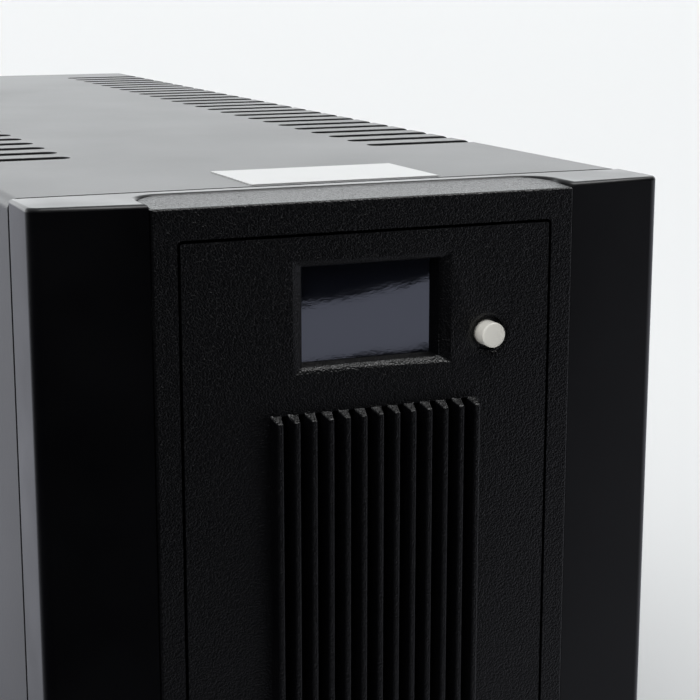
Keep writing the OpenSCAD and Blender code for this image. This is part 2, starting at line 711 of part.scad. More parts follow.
// A hook that snaps through the chassis front wall.
module snap_hook(x, z) {
    box([x - 3, 4, z - 1], [x + 3, wall_y + 6, z + 1]);
    translate([x, wall_y + sheet + 0.4, z]) carried(6)
        polygon([[0, 0.9], [0, 3], [4.6, 1.2], [4.6, 0.9]]);
}

module front_panel() color([0.1, 0.1, 0.105]) from_front() difference() {
    intersection() {
        carried(panel_w) polygon([
            [0, panel_bottom], [0, case_h - panel_drop_front],
            [notch_d, case_h - panel_drop_back], [notch_d, case_h - panel_drop_back - plastic_t],
            [plastic_t + 3, case_h - panel_drop_front - plastic_t - 0.4],
            [plastic_t + 3, panel_bottom]]);
        linear_extrude(case_h + 1) notch_plan(0);
    }
    g = groove_w;
    translate([0, -1, 0]) plate(plastic_t + 1.2)
        round_rect([-display_half - g, display_bottom - g],
                   [display_half + g, display_top + g], display_r + g);
    translate([0, 1, 0]) plate(plastic_t + 6)
        round_rect([-display_half + 2.5, display_bottom + 2.5],
                   [display_half - 2.5, display_top - 2.5], display_r);
}

// One grille rib: a ridge with a narrow front face on a bar that crosses the panel's opening.
module rib() {
    h = grille_top - grille_bottom;
    translate([0, -rib_out, grille_bottom + h / 2])
        taper(rib_tip_w, h - 2 * rib_drop, rib_w, h, rib_out);
    box([-rib_w / 2, -0.001, grille_bottom - 0.5], [rib_w / 2, rib_d, grille_top + 0.5]);
}

module display_panel() color([0.1, 0.1, 0.105]) from_front() difference() {
    union() {
        difference() {
            plate(plastic_t) round_rect([-display_half, display_bottom],
                                        [display_half, display_top], display_r);
            translate([grille_x, 0, 0])
                box([-grille_half, -1, grille_bottom], [grille_half, 4, grille_top]);
        }
        translate([grille_x, 0, 0]) {
            difference() {
                box([-grille_half - 1.5, plastic_t, grille_bottom - 1.5],
                    [grille_half + 1.5, rib_d, grille_top + 1.5]);
                box([-grille_half, plastic_t - 1, grille_bottom],
                    [grille_half, rib_d + 1, grille_top]);
            }
            for (i = [0:rib_count - 1])
                translate([(i - (rib_count - 1) / 2) * rib_pitch, 0, 0]) rib();
            for (z = [1:3]) translate([0, 0, grille_bottom + z * (grille_top - grille_bottom) / 4])
                box([-grille_half - 0.5, rib_d - 1.2, -1], [grille_half + 0.5, rib_d, 1]);
        }
        translate([window_x, 0, 0])
            box([-window_w / 2 - 3, plastic_t, window_z - window_h / 2 - 3],
                [window_w / 2 + 3, window_depth, window_z + window_h / 2 + 3]);
        translate([button_x, plastic_t, button_z]) rod(6.6, 1.5);
        for (x = boss_xs, z = boss_zs) translate([x, plastic_t - 0.5, z])
            rod(3, board_y - plastic_t + 0.5);
    }
    for (x = boss_xs, z = boss_zs) translate([x, plastic_t + 1, z]) rod(1.25, board_y);
    translate([window_x, -0.001, window_z]) taper(window_w + 7.2, window_h + 3.9,
                                                  window_w + 2.6, window_h + 1, 1);
    translate([window_x, 0.999, window_z]) taper(window_w + 2.6, window_h + 1,
                                                 window_w, window_h, window_depth - 0.99);
    translate([button_x, -0.001, button_z]) cone(5.2, 4.6, 0.4);
    translate([button_x, -0.5, button_z]) rod(4.1, 1.9);
    translate([button_x, -1, button_z]) rod(button_dia / 2 + 0.3, 8);
    translate([button_x, -0.75, icon_z]) power_icon();
}

module lcd_lens() color([0.05, 0.05, 0.07]) from_front() translate([window_x, 0, 0])
    box([-window_w / 2 - 2, window_depth, window_z - window_h / 2 - 2],
        [window_w / 2 + 2, window_depth + 1.2, window_z + window_h / 2 + 2]);

module lcd_module() color([0.3, 0.32, 0.33]) from_front() {
    w = window_w / 2 + 5;
    h = window_h / 2 + 4;
    translate([window_x, 0, 0])
        box([-w, window_depth + 1.2, window_z - h], [w, board_y, window_z + h]);
}

module display_board() color([0.05, 0.3, 0.14]) from_front() {
    difference() {
        box([-40, board_y, window_z - 20], [40, board_y + board_t, window_z + 14]);
        for (x = boss_xs, z = boss_zs) translate([x, board_y - 1, z]) rod(1.5, 4);
    }
}

// Screws that hold the display's circuit board on the panel's bosses.
module display_screws() color([0.75, 0.75, 0.77]) from_front()
    for (x = boss_xs, z = boss_zs) translate([x, board_y + board_t, z])
        pan_screw(2.6, 1.6, 1.2, 8);

module tact_switch() color([0.12, 0.12, 0.12]) from_front()
    translate([button_x, board_y, button_z]) difference() {
        box([-3, -3.6, -3], [3, 0, 3]);
        translate([0, -4, 0]) rod(1.8, 3.2);
    }

module power_button() color([0.88, 0.87, 0.83]) from_front()
    translate([button_x, 0, button_z]) {
        translate([0, -button_out, 0]) cone(button_dia / 2 - 0.3, button_dia / 2, 0.3);
        translate([0, -button_out + 0.3, 0]) rod(button_dia / 2, 7.4);
        translate([0, 4.4, 0]) rod(4, 0.8);
        translate([0, 4.7, 0]) rod(1.6, 3.9);
    }

module switch_plunger() color([0.85, 0.75, 0.2]) from_front()
    translate([button_x, 8.6, button_z]) rod(1.7, 3.4);

// Foam filter behind the grille.
module air_filter() color([0.04, 0.04, 0.04]) from_front()
    translate([grille_x, 0, 0]) box([-grille_half - 1, rib_d, grille_bottom - 1],
                                    [grille_half + 1, rib_d + 4.8, grille_top + 1]);

// Flat cable from the display's board, with the plug on its end.
module ribbon_cable() color([0.65, 0.66, 0.68]) from_front() {
    box([ribbon_x - 8, board_y + board_t, ribbon_z - 0.5],
        [ribbon_x + 8, control_y - 8, ribbon_z + 0.5]);
    box([ribbon_x - 9, control_y - 8.5, ribbon_z - 2.5],
        [ribbon_x + 9, control_y - 1.2, ribbon_z + 2.5]);
}

// ---------------------------------------------------------------- nodes

chassis();
top_cover();
rear_panel();
battery_bay();
battery_tray();
battery_retainer();
retainer_screws();
battery_front_left();
battery_front_right();
battery_rear_left();
battery_rear_right();
battery_terminals();
battery_cable_red();
battery_cable_black();
main_board();
board_standoffs();
heatsink_left();
heatsink_right();
power_transistors();
bus_capacitors();
chokes();
charger_transformer();
relays();
control_board();
fan_frame();
fan_guard();
fan_screws();
ac_inlet();
inlet_pins();
outlets();
circuit_breaker();
breaker_nut();
usb_port();
network_ports();
epo_terminal();
interface_board();
slot_cover();
slot_cover_screws();
earth_screw();
feet();
foot_screws();
side_screws();
rear_screws();
top_label();
rear_label();
hood();
front_panel();
display_panel();
lcd_lens();
lcd_module();
display_board();
display_screws();
tact_switch();
air_filter();
ribbon_cable();
power_button();
switch_plunger();
fan_rotor();
breaker_button();
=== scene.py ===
"""Looks of a tower uninterruptible power supply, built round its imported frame.

The CAD nodes give every place and size. This file eases their edges, adds the small pieces that
the solids leave out, and dresses everything in procedural finishes. All lengths are in metres.
"""
from __future__ import annotations

import json
import logging
import math
from dataclasses import dataclass, field
from enum import Enum
from typing import Callable, Optional, Sequence

import bmesh
import bpy
import numpy as np
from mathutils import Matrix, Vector


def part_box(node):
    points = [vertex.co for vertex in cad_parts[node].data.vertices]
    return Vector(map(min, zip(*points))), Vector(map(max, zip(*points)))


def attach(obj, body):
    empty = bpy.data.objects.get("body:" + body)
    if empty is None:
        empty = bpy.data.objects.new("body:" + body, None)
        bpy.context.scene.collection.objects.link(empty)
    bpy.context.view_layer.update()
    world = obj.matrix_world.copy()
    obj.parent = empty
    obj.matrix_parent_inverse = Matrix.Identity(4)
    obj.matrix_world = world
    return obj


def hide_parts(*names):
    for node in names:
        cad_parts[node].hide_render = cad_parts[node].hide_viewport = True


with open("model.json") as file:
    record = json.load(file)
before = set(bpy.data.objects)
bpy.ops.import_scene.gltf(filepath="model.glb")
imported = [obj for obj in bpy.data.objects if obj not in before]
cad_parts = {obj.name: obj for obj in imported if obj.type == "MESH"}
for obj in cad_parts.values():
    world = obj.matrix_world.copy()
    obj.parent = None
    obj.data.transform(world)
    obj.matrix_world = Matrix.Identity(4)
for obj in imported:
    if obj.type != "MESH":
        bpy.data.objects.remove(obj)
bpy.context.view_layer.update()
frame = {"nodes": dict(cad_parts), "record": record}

LOG = logging.getLogger("power_supply")
MM = 0.001
SHARP_TURN = 35.0  # an edge of a CAD node that turns by more degrees than this is a sharp one
Array = np.ndarray
Colour = tuple[float, float, float]
Socket = bpy.types.NodeSocket


# ---------------------------------------------------------------- surfaces


@dataclass
class Skin:
    """A surface: its points, its four-sided faces, and the flat faces that close its ends."""

    points: Array
    quads: Array
    caps: list[Array] = field(default_factory=list)

    def __add__(self, other: "Skin") -> "Skin":
        """Puts two surfaces into one."""
        shift = len(self.points)
        return Skin(
            np.concatenate([self.points, other.points]),
            np.concatenate([self.quads, other.quads + shift]),
            self.caps + [cap + shift for cap in other.caps],
        )


def together(skins: Sequence[Skin]) -> Skin:
    """Joins many surfaces into one, in order."""
    total = skins[0]
    for skin in skins[1:]:
        total = total + skin
    return total


def grid(points: Array, wrap_rows: bool = False, wrap_columns: bool = False, capped: bool = False) -> Skin:
    """Turns a grid of points into a surface, one four-sided face to each cell.

    Args:
        points: An array of rows by columns by three.
        wrap_rows: Whether the last row joins the first.
        wrap_columns: Whether the last column joins the first.
        capped: Whether the first and last rows are closed with a flat face.

    Returns:
        The surface.
    """
    rows, columns = points.shape[:2]
    index = np.arange(rows * columns).reshape(rows, columns)
    if wrap_rows:
        index = np.concatenate([index, index[:1]], axis=0)
    if wrap_columns:
        index = np.concatenate([index, index[:, :1]], axis=1)
    a, b, c, d = index[:-1, :-1], index[:-1, 1:], index[1:, 1:], index[1:, :-1]
    quads = np.stack([a, b, c, d], axis=-1).reshape(-1, 4)
    caps = [index[0, :columns][::-1], index[-1, :columns]] if capped else []
    return Skin(points.reshape(-1, 3), quads, caps)


class Axis(Enum):
    """The row axis that a turned or extruded piece runs along."""

    X = 0
    Y = 1
    Z = 2


def turn_to(axis: Axis, across: Array, up: Array, along: Array) -> Array:
    """Stacks three coordinate arrays so that the last one runs along the axis.

    Args:
        axis: The axis that along runs on.
        across: The first of the two other coordinates, in X, Y, Z order.
        up: The second of them.
        along: The coordinate on the axis.

    Returns:
        An array of the same shape with a last dimension of three.
    """
    order = {Axis.X: (along, across, up), Axis.Y: (across, along, up), Axis.Z: (across, up, along)}
    return np.stack(np.broadcast_arrays(*order[axis]), axis=-1)


def lathe(
    profile: Sequence[tuple[float, float]], centre: Sequence[float], axis: Axis, sectors: int = 48
) -> Skin:
    """Turns a profile about an axis: a point is (r cos a, r sin a) across it and h along it.

    Args:
        profile: Radius and height pairs from one end to the other; a radius of 0 closes an end.
        centre: The point on the axis at height 0.
        axis: The axis of the turning.
        sectors: How many steps make a full turn.

    Returns:
        The surface, with its ends closed.
    """
    shape = np.asarray(profile, float)
    angle = np.arange(sectors) * (2 * math.pi / sectors)
    radius, height = shape[:, :1], shape[:, 1:]
    points = turn_to(axis, radius * np.cos(angle), radius * np.sin(angle), height)
    return grid(points + np.asarray(centre, float), wrap_columns=True, capped=True)


def arc(centre: tuple[float, float], radius: float, start: float, end: float, steps: int = 6) -> Array:
    """Points on a circle's arc: the centre plus the radius times (cos a, sin a), a in degrees."""
    angle = np.radians(np.linspace(start, end, steps + 1))
    return np.stack([centre[0] + radius * np.cos(angle), centre[1] + radius * np.sin(angle)], axis=-1)


def round_rectangle(width: float, height: float, radius: float, steps: int = 6) -> Array:
    """A rectangle's outline with round corners: four quarter circles about the inset corners."""
    x, y = width / 2 - radius, height / 2 - radius
    corners = [((x, y), 0), ((-x, y), 90), ((-x, -y), 180), ((x, -y), 270)]
    return np.concatenate([arc(centre, radius, a, a + 90, steps) for centre, a in corners])


def outward(outline: Array) -> Array:
    """Unit normals of a closed anticlockwise outline: its central difference turned by -90 degrees."""
    step = np.roll(outline, -1, axis=0) - np.roll(outline, 1, axis=0)
    normal = np.stack([step[:, 1], -step[:, 0]], axis=-1)
    return normal / np.linalg.norm(normal, axis=1, keepdims=True)


def prism(
    outline: Array, centre: Sequence[float], axis: Axis, depth: float, ease: float, steps: int = 3
) -> Skin:
    """Carries an outline along an axis and eases both ends with a quarter circle.

    The ring at angle a from an end's rim is the outline moved inwards by ease (1 - sin a), at
    ease (1 - cos a) from that end.

    Args:
        outline: The anticlockwise outline, one row to each point.
        centre: The point on the axis at the low end.
        axis: The axis that the outline is carried along.
        depth: The length of the prism.
        ease: The radius of the eased rims.
        steps: How many rings make an eased rim.

    Returns:
        The closed surface.
    """
    angle = np.linspace(0, math.pi / 2, steps + 1)
    inset = np.concatenate([ease * (1 - np.sin(angle)), ease * (1 - np.sin(angle[::-1]))])
    height = np.concatenate([ease * (1 - np.cos(angle)), depth - ease * (1 - np.cos(angle[::-1]))])
    flat = outline[None, :, :] - inset[:, None, None] * outward(outline)[None, :, :]
    points = turn_to(axis, flat[..., 0], flat[..., 1], height[:, None])
    return grid(points + np.asarray(centre, float), wrap_columns=True, capped=True)


def rounded_block(low: Sequence[float], high: Sequence[float], radius: float, steps: int = 3) -> Skin:
    """A box with round edges: its inset corners plus the radius times a unit direction.

    The direction runs over a sphere's grid of longitude and latitude, and each octant of the
    sphere belongs to one corner, so the cells between octants are the box's flat sides.

    Args:
        low: The lowest corner.
        high: The highest corner.
        radius: The radius of the edges.
        steps: How many cells make a quarter turn.

    Returns:
        The closed surface.
    """
    a, b = np.asarray(low, float), np.asarray(high, float)
    half = (b - a) / 2 - radius
    quarter = np.linspace(0, math.pi / 2, steps + 1)
    longitude = np.concatenate([quarter + k * math.pi / 2 for k in range(4)])
    side_x = np.repeat([1, -1, -1, 1], steps + 1)
    side_y = np.repeat([1, 1, -1, -1], steps + 1)
    latitude = np.concatenate([quarter - math.pi / 2, quarter])[:, None]
    side_z = np.repeat([-1, 1], steps + 1)[:, None]
    x = side_x * half[0] + radius * np.cos(latitude) * np.cos(longitude)
    y = side_y * half[1] + radius * np.cos(latitude) * np.sin(longitude)
    z = side_z * half[2] + radius * np.sin(latitude) + 0 * longitude
    points = np.stack(np.broadcast_arrays(x, y, z), axis=-1) + (a + b) / 2
    return grid(points, wrap_columns=True, capped=True)


def tube(path: Array, radius: float, sides: int = 12, closed: bool = False) -> Skin:
    """Carries a circle along a path: a point is the path's plus r (u cos a + v sin a).

    u is the tangent crossed with a fixed direction that the path never follows, and v completes
    the pair.

    Args:
        path: The points that the tube follows, one row to each.
        radius: The tube's radius.
        sides: How many sides the tube has.
        closed: Whether the path is a loop.

    Returns:
        The closed surface.
    """
    if closed:
        tangent = np.roll(path, -1, axis=0) - np.roll(path, 1, axis=0)
    else:
        tangent = np.gradient(path, axis=0)
    tangent = tangent / np.linalg.norm(tangent, axis=1, keepdims=True)
    u = np.cross(tangent, [0.93, 0.32, 0.19])
    u = u / np.linalg.norm(u, axis=1, keepdims=True)
    v = np.cross(tangent, u)
    angle = (np.arange(sides) * 2 * math.pi / sides)[None, :, None]
    around = np.cos(angle) * u[:, None, :] + np.sin(angle) * v[:, None, :]
    points = path[:, None, :] + radius * around
    return grid(points, wrap_rows=closed, wrap_columns=True, capped=not closed)


def copies(skin: Skin, places: Array) -> Skin:
    """Repeats a surface at many places, given as one row of offsets to each."""
    count, size = len(places), len(skin.points)
    points = (places[:, None, :] + skin.points[None, :, :]).reshape(-1, 3)
    shift = np.arange(count) * size
    quads = (shift[:, None, None] + skin.quads[None, :, :]).reshape(-1, 4)
    caps = [cap + s for s in shift for cap in skin.caps]
    return Skin(points, quads, caps)


# ---------------------------------------------------------------- pieces


def box_of(node: str) -> tuple[Array, Array]:
    """The lowest and highest corners of a CAD node, as arrays."""
    low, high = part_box(node)
    return np.array(low), np.array(high)


def centre_of(node: str) -> Array:
    """The middle of a CAD node's box."""
    low, high = box_of(node)
    return (low + high) / 2


def edge_angles(mesh: bpy.types.Mesh) -> tuple[Array, Array]:
    """Measures how sharply a mesh turns at each edge.

    The angle is the arc cosine of the dot product of the two face normals that meet there.

    Args:
        mesh: The mesh to measure.

    Returns:
        The angle at each edge in degrees, 0 where two faces don't meet, and each edge's middle.
    """
    normals = np.zeros(len(mesh.polygons) * 3)
    mesh.polygons.foreach_get("normal", normals)
    totals = np.zeros(len(mesh.polygons), int)
    mesh.polygons.foreach_get("loop_total", totals)
    edge_of_loop = np.zeros(len(mesh.loops), int)
    mesh.loops.foreach_get("edge_index", edge_of_loop)
    face_of_loop = np.repeat(np.arange(len(totals)), totals)
    order = np.argsort(edge_of_loop, kind="stable")
    edges, faces = edge_of_loop[order], face_of_loop[order]
    pair = np.flatnonzero(edges[:-1] == edges[1:])
    normals = normals.reshape(-1, 3)
    dot = (normals[faces[pair]] * normals[faces[pair + 1]]).sum(axis=1)
    angles = np.zeros(len(mesh.edges))
    angles[edges[pair]] = np.degrees(np.arccos(np.clip(dot, -1, 1)))
    ends = np.zeros(len(mesh.edges) * 2, int)
    mesh.edges.foreach_get("vertices", ends)
    points = np.zeros(len(mesh.vertices) * 3)
    mesh.vertices.foreach_get("co", points)
    middles = points.reshape(-1, 3)[ends.reshape(-1, 2)].mean(axis=1)
    return angles, middles


def smooth_below(mesh: bpy.types.Mesh, angle: float) -> None:
    """Shades a mesh smooth and marks the edges that turn by more than the angle as sharp."""
    mesh.polygons.foreach_set("use_smooth", np.ones(len(mesh.polygons), bool))
    sharp = mesh.attributes.get("sharp_edge") or mesh.attributes.new("sharp_edge", "BOOLEAN", "EDGE")
    sharp.data.foreach_set("value", edge_angles(mesh)[0] > angle)


@dataclass
class Piece:
    """One visible piece: its mesh, what it wears and the body it rides on."""

    name: str
    body: str
    finish: "Finish"
    replaces: tuple[str, ...] = ()

    def settle(self, mesh: bpy.types.Mesh) -> bpy.types.Object:
        """Makes the object, dresses it and puts it on its body.

        Args:
            mesh: The piece's mesh, in place.

        Returns:
            The new object.
        """
        obj = bpy.data.objects.new(self.name, mesh)
        bpy.context.scene.collection.objects.link(obj)
        mesh.materials.clear()
        mesh.materials.append(self.finish.material())
        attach(obj, self.body)
        if self.replaces:
            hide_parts(*self.replaces)
        LOG.info("%s: %d faces on %s", self.name, len(mesh.polygons), self.body)
        return obj

    def from_skin(self, skin: Skin, sharp: float = 40.0) -> bpy.types.Object:
        """Makes the piece from a computed surface, with its seams and poles closed.

        Args:
            skin: The surface.
            sharp: Edges that turn by more degrees than this stay sharp.

        Returns:
            The new object.
        """
        mesh = bpy.data.meshes.new(self.name)
        faces = skin.quads.tolist() + [cap.tolist() for cap in skin.caps]
        mesh.from_pydata(skin.points.tolist(), [], faces)
        form = bmesh.new()
        form.from_mesh(mesh)
        bmesh.ops.remove_doubles(form, verts=form.verts, dist=1e-7)
        bmesh.ops.dissolve_degenerate(form, edges=form.edges, dist=1e-8)
        bmesh.ops.recalc_face_normals(form, faces=form.faces)
        form.to_mesh(mesh)
        form.free()
        smooth_below(mesh, sharp)
        obj = self.settle(mesh)
        obj.modifiers.new("even shading", "WEIGHTED_NORMAL").keep_sharp = True
        return obj

    def from_node(
        self,
        node: str,
        ease: float,
        segments: int = 3,
        chosen: Optional[Callable[[Array], Array]] = None,
    ) -> bpy.types.Object:
        """Makes the piece from a copy of its CAD node, with its edges eased.

        The copy's corners are merged. A Bevel modifier then rounds the edges that turn by more
        than SHARP_TURN degrees and that chosen picks.

        Args:
            node: The CAD node.
            ease: The width of the eased edges.
            segments: How many faces make an eased edge.
            chosen: Takes the middles of the edges and says which to ease; all of them if None.

        Returns:
            The new object.
        """
        mesh = frame["nodes"][node].data.copy()
        mesh.name = self.name
        form = bmesh.new()
        form.from_mesh(mesh)
        bmesh.ops.remove_doubles(form, verts=form.verts, dist=1e-6)
        form.to_mesh(mesh)
        form.free()
        angles, middles = edge_angles(mesh)
        picked = angles > SHARP_TURN
        if chosen is not None:
            picked &= chosen(middles)
        weight = mesh.attributes.get("bevel_weight_edge")
        weight = weight or mesh.attributes.new("bevel_weight_edge", "FLOAT", "EDGE")
        weight.data.foreach_set("value", picked.astype(np.float32))
        smooth_below(mesh, SHARP_TURN)
        obj = self.settle(mesh)
        bevel = obj.modifiers.new("eased edges", "BEVEL")
        bevel.limit_method = "WEIGHT"
        bevel.width = ease
        bevel.segments = segments
        bevel.miter_outer = "MITER_SHARP"
        bevel.use_clamp_overlap = False
        bevel.loop_slide = False
        even = obj.modifiers.new("even shading", "WEIGHTED_NORMAL")
        even.keep_sharp = True
        return obj


# ---------------------------------------------------------------- finishes


class Sheet:
    """A material's node sheet, with short calls for the nodes that the finishes use."""

    def __init__(self, name: str) -> None:
        """Starts a material with its shader and its object coordinates."""
        self.material = bpy.data.materials.new(name)
        self.material.use_nodes = True
        self.tree = self.material.node_tree
        self.shader = self.tree.nodes["Principled BSDF"]
        self.place = self.tree.nodes.new("ShaderNodeTexCoord").outputs["Object"]

    def set(self, **values: object) -> None:
        """Sets the shader's sockets; an underscore in a name stands for a space."""
        for name, value in values.items():
            self.shader.inputs[name.replace("_", " ")].default_value = value

    def node(self, kind: str, inputs: Optional[dict] = None, **settings: object) -> bpy.types.Node:
        """Adds a node.

        Args:
            kind: The node's type name.
            inputs: Socket names or numbers to values or to other nodes' outputs.
            settings: The node's own settings.

        Returns:
            The new node.
        """
        made = self.tree.nodes.new(kind)
        for name, value in settings.items():
            setattr(made, name, value)
        for name, value in (inputs or {}).items():
            if isinstance(value, Socket):
                self.tree.links.new(value, made.inputs[name])
            else:
                made.inputs[name].default_value = value
        return made

    def stretched(self, scale: Sequence[float], turn: Sequence[float] = (0, 0, 0)) -> Socket:
        """Object coordinates turned by some angles and scaled along each axis."""
        inputs = {"Vector": self.place, "Scale": tuple(scale), "Rotation": tuple(turn)}
        return self.node("ShaderNodeMapping", inputs).outputs["Vector"]

    def noise(
        self, scale: float, detail: float = 2.0, roughness: float = 0.5, where: Optional[Socket] = None
    ) -> Socket:
        """Fractal noise, scale to the metre, from 0 to 1."""
        inputs = {"Vector": where or self.place, "Scale": scale, "Detail": detail, "Roughness": roughness}
        return self.node("ShaderNodeTexNoise", inputs).outputs[0]

    def cells(self, scale: float, where: Optional[Socket] = None) -> Socket:
        """The distance to the nearest of many scattered points, scale to the metre."""
        inputs = {"Vector": where or self.place, "Scale": scale}
        return self.node("ShaderNodeTexVoronoi", inputs).outputs["Distance"]

    def spread(
        self, value: Socket, low: float, high: float, start: float = 0.0, end: float = 1.0
    ) -> Socket:
        """Maps a value from start..end to low..high, held at the ends."""
        inputs = {"Value": value, 1: start, 2: end, 3: low, 4: high}
        return self.node("ShaderNodeMapRange", inputs).outputs[0]

    def math(self, what: str, a: object, b: object = 0.0) -> Socket:
        """One sum of two values."""
        return self.node("ShaderNodeMath", {0: a, 1: b}, operation=what).outputs[0]

    def blend(self, share: Socket, a: Colour, b: Colour) -> Socket:
        """A colour between a, where the share is 0, and b, where it is 1."""
        stops = {"Factor": share, 6: (*a, 1.0), 7: (*b, 1.0)}
        return self.node("ShaderNodeMix", stops, data_type="RGBA").outputs[2]

    def feed(self, socket: str, value: Socket) -> None:
        """Links a value to one of the shader's sockets."""
        self.tree.links.new(value, self.shader.inputs[socket])

    def relief(self, height: Socket, depth: float, below: Optional[Socket] = None) -> Socket:
        """A bump of a depth in metres, on top of another one if it is given."""
        inputs = {"Height": height, "Distance": depth}
        if below is not None:
            inputs["Normal"] = below
        return self.node("ShaderNodeBump", inputs).outputs[0]

    def eased(self, radius: float) -> Socket:
        """A normal that rounds sharp edges by a radius in metres."""
        return self.node("ShaderNodeBevel", {"Radius": radius}, samples=4).outputs[0]


@dataclass(frozen=True)
class Finish:
    """What a piece wears. Each kind of finish fills its own node sheet."""

    slot: str
    colour: Colour
    roughness: float = 0.5
    edge: float = 0.0

    def material(self) -> bpy.types.Material:
        """The finish's material, made the first time it is asked for."""
        name = f"{type(self).__name__.lower()}_{self.slot}_{int(self.edge * 1e6)}"
        known = bpy.data.materials.get(name)
        if known is not None:
            return known
        sheet = Sheet(name)
        sheet.set(Base_Color=(*self.colour, 1.0), Roughness=self.roughness)
        self.fill(sheet)
        return sheet.material

    def fill(self, sheet: Sheet) -> None:
        """Fills the node sheet; each kind of finish has its own way."""
        raise NotImplementedError

    def base_normal(self, sheet: Sheet) -> Optional[Socket]:
        """The normal under the finish's relief: rounded at sharp edges where edge is set."""
        return sheet.eased(self.edge) if self.edge else None

    def shades(self, sheet: Sheet, share: Socket, contrast: float) -> None:
        """Varies the colour about its own value by a share of contrast."""
        dark = tuple(c * (1 - contrast) for c in self.colour)
        light = tuple(min(1.0, c * (1 + contrast) + 0.002) for c in self.colour)
        sheet.feed("Base Color", sheet.blend(share, dark, light))


@dataclass(frozen=True)
class Moulded(Finish):
    """Moulded plastic with a fine spark-eroded texture: small pits, soft mottling, faint haze."""

    pit: float = 0.000012
    pit_scale: float = 2600.0
    ior: float = 1.36

    def fill(self, sheet: Sheet) -> None:
        """Fine noise makes the pits, broad noise varies colour and gloss."""
        broad = sheet.noise(35.0, 3.0)
        fine = sheet.noise(self.pit_scale, 2.0, 0.6)
        sheet.set(IOR=self.ior)
        self.shades(sheet, broad, 0.18)
        sheet.feed("Roughness", sheet.spread(broad, self.roughness - 0.04, self.roughness + 0.05, 0.3, 0.7))
        sheet.feed("Normal", sheet.relief(fine, self.pit, self.base_normal(sheet)))


@dataclass(frozen=True)
class Grained(Finish):
    """Moulded plastic with a pebbled leather grain: domed cells with creases between them."""

    cell_scale: float = 2300.0
    depth: float = 0.00013
    ior: float = 1.42

    def fill(self, sheet: Sheet) -> None:
        """Cells wandering with noise give the pebbles; a finer noise roughens their tops."""
        sheet.set(IOR=self.ior)
        wander = sheet.node("ShaderNodeTexNoise", {"Vector": sheet.place, "Scale": 900.0, "Detail": 1.0})
        reach = {0: wander.outputs["Color"], 1: (0.0006, 0.0006, 0.0006)}
        shift = sheet.node("ShaderNodeVectorMath", reach, operation="MULTIPLY")
        moved = sheet.node("ShaderNodeVectorMath", {0: sheet.place, 1: shift.outputs[0]}, operation="ADD")
        pebbles = sheet.math("POWER", sheet.cells(self.cell_scale, moved.outputs[0]), 1.6)
        fine = sheet.noise(4200.0, 2.0)
        broad = sheet.noise(30.0, 2.0)
        height = sheet.math("SUBTRACT", sheet.math("MULTIPLY", fine, 0.25), pebbles)
        self.shades(sheet, broad, 0.15)
        sheet.feed("Roughness", sheet.spread(pebbles, self.roughness - 0.05, self.roughness + 0.12))
        sheet.feed("Normal", sheet.relief(height, self.depth, self.base_normal(sheet)))


@dataclass(frozen=True)
class PowderCoat(Finish):
    """Baked powder paint on steel: a low orange peel, fine sand over it and faint rubbed spots."""

    def fill(self, sheet: Sheet) -> None:
        """Two scales of noise make the relief, a third one varies the gloss."""
        peel = sheet.noise(650.0, 2.0)
        sand = sheet.noise(2100.0, 2.0, 0.7)
        rubbed = sheet.noise(14.0, 5.0, 0.6)
        under = sheet.relief(peel, 0.000022, self.base_normal(sheet))
        self.shades(sheet, rubbed, 0.2)
        low, high = self.roughness - 0.015, self.roughness + 0.015
        sheet.feed("Roughness", sheet.spread(rubbed, low, high, 0.35, 0.65))
        sheet.feed("Normal", sheet.relief(sand, 0.000014, under))


@dataclass(frozen=True)
class BareMetal(Finish):
    """Bare or plated metal, with brush lines along one axis and a little tarnish."""

    brush: tuple[float, float, float] = (400.0, 12.0, 400.0)

    def fill(self, sheet: Sheet) -> None:
        """Stretched noise makes the brush lines; broad noise the tarnish."""
        lines = sheet.noise(3.0, 3.0, 0.6, sheet.stretched(self.brush))
        cloud = sheet.noise(45.0, 4.0)
        sheet.set(Metallic=1.0)
        self.shades(sheet, cloud, 0.12)
        sheet.feed("Roughness", sheet.spread(lines, self.roughness - 0.08, self.roughness + 0.12, 0.3, 0.7))
        sheet.feed("Normal", sheet.relief(lines, 0.000004, self.base_normal(sheet)))


@dataclass(frozen=True)
class Glossy(Finish):
    """Smooth moulded or glazed plastic with very faint waves."""

    wave: float = 0.000004

    def fill(self, sheet: Sheet) -> None:
        """Broad noise gives the waves and a slight change of gloss."""
        waves = sheet.noise(160.0, 2.0)
        self.shades(sheet, sheet.noise(60.0, 3.0), 0.05)
        sheet.feed("Roughness", sheet.spread(waves, self.roughness * 0.8, self.roughness * 1.2, 0.3, 0.7))
        sheet.feed("Normal", sheet.relief(waves, self.wave, self.base_normal(sheet)))


@dataclass(frozen=True)
class DarkWindow(Finish):
    """A smoked display window under a thin film that isn't quite flat."""

    def fill(self, sheet: Sheet) -> None:
        """Fine noise stretched across makes the film's ragged reflections."""
        film = sheet.noise(1.0, 3.0, 0.65, sheet.stretched((420.0, 420.0, 900.0)))
        swell = sheet.noise(120.0, 1.0)
        sheet.set(Specular_IOR_Level=0.8, IOR=1.6)
        sheet.feed("Base Color", sheet.blend(swell, self.colour, tuple(c * 1.3 for c in self.colour)))
        under = sheet.relief(swell, 0.000010)
        sheet.feed("Normal", sheet.relief(film, 0.0000022, under))


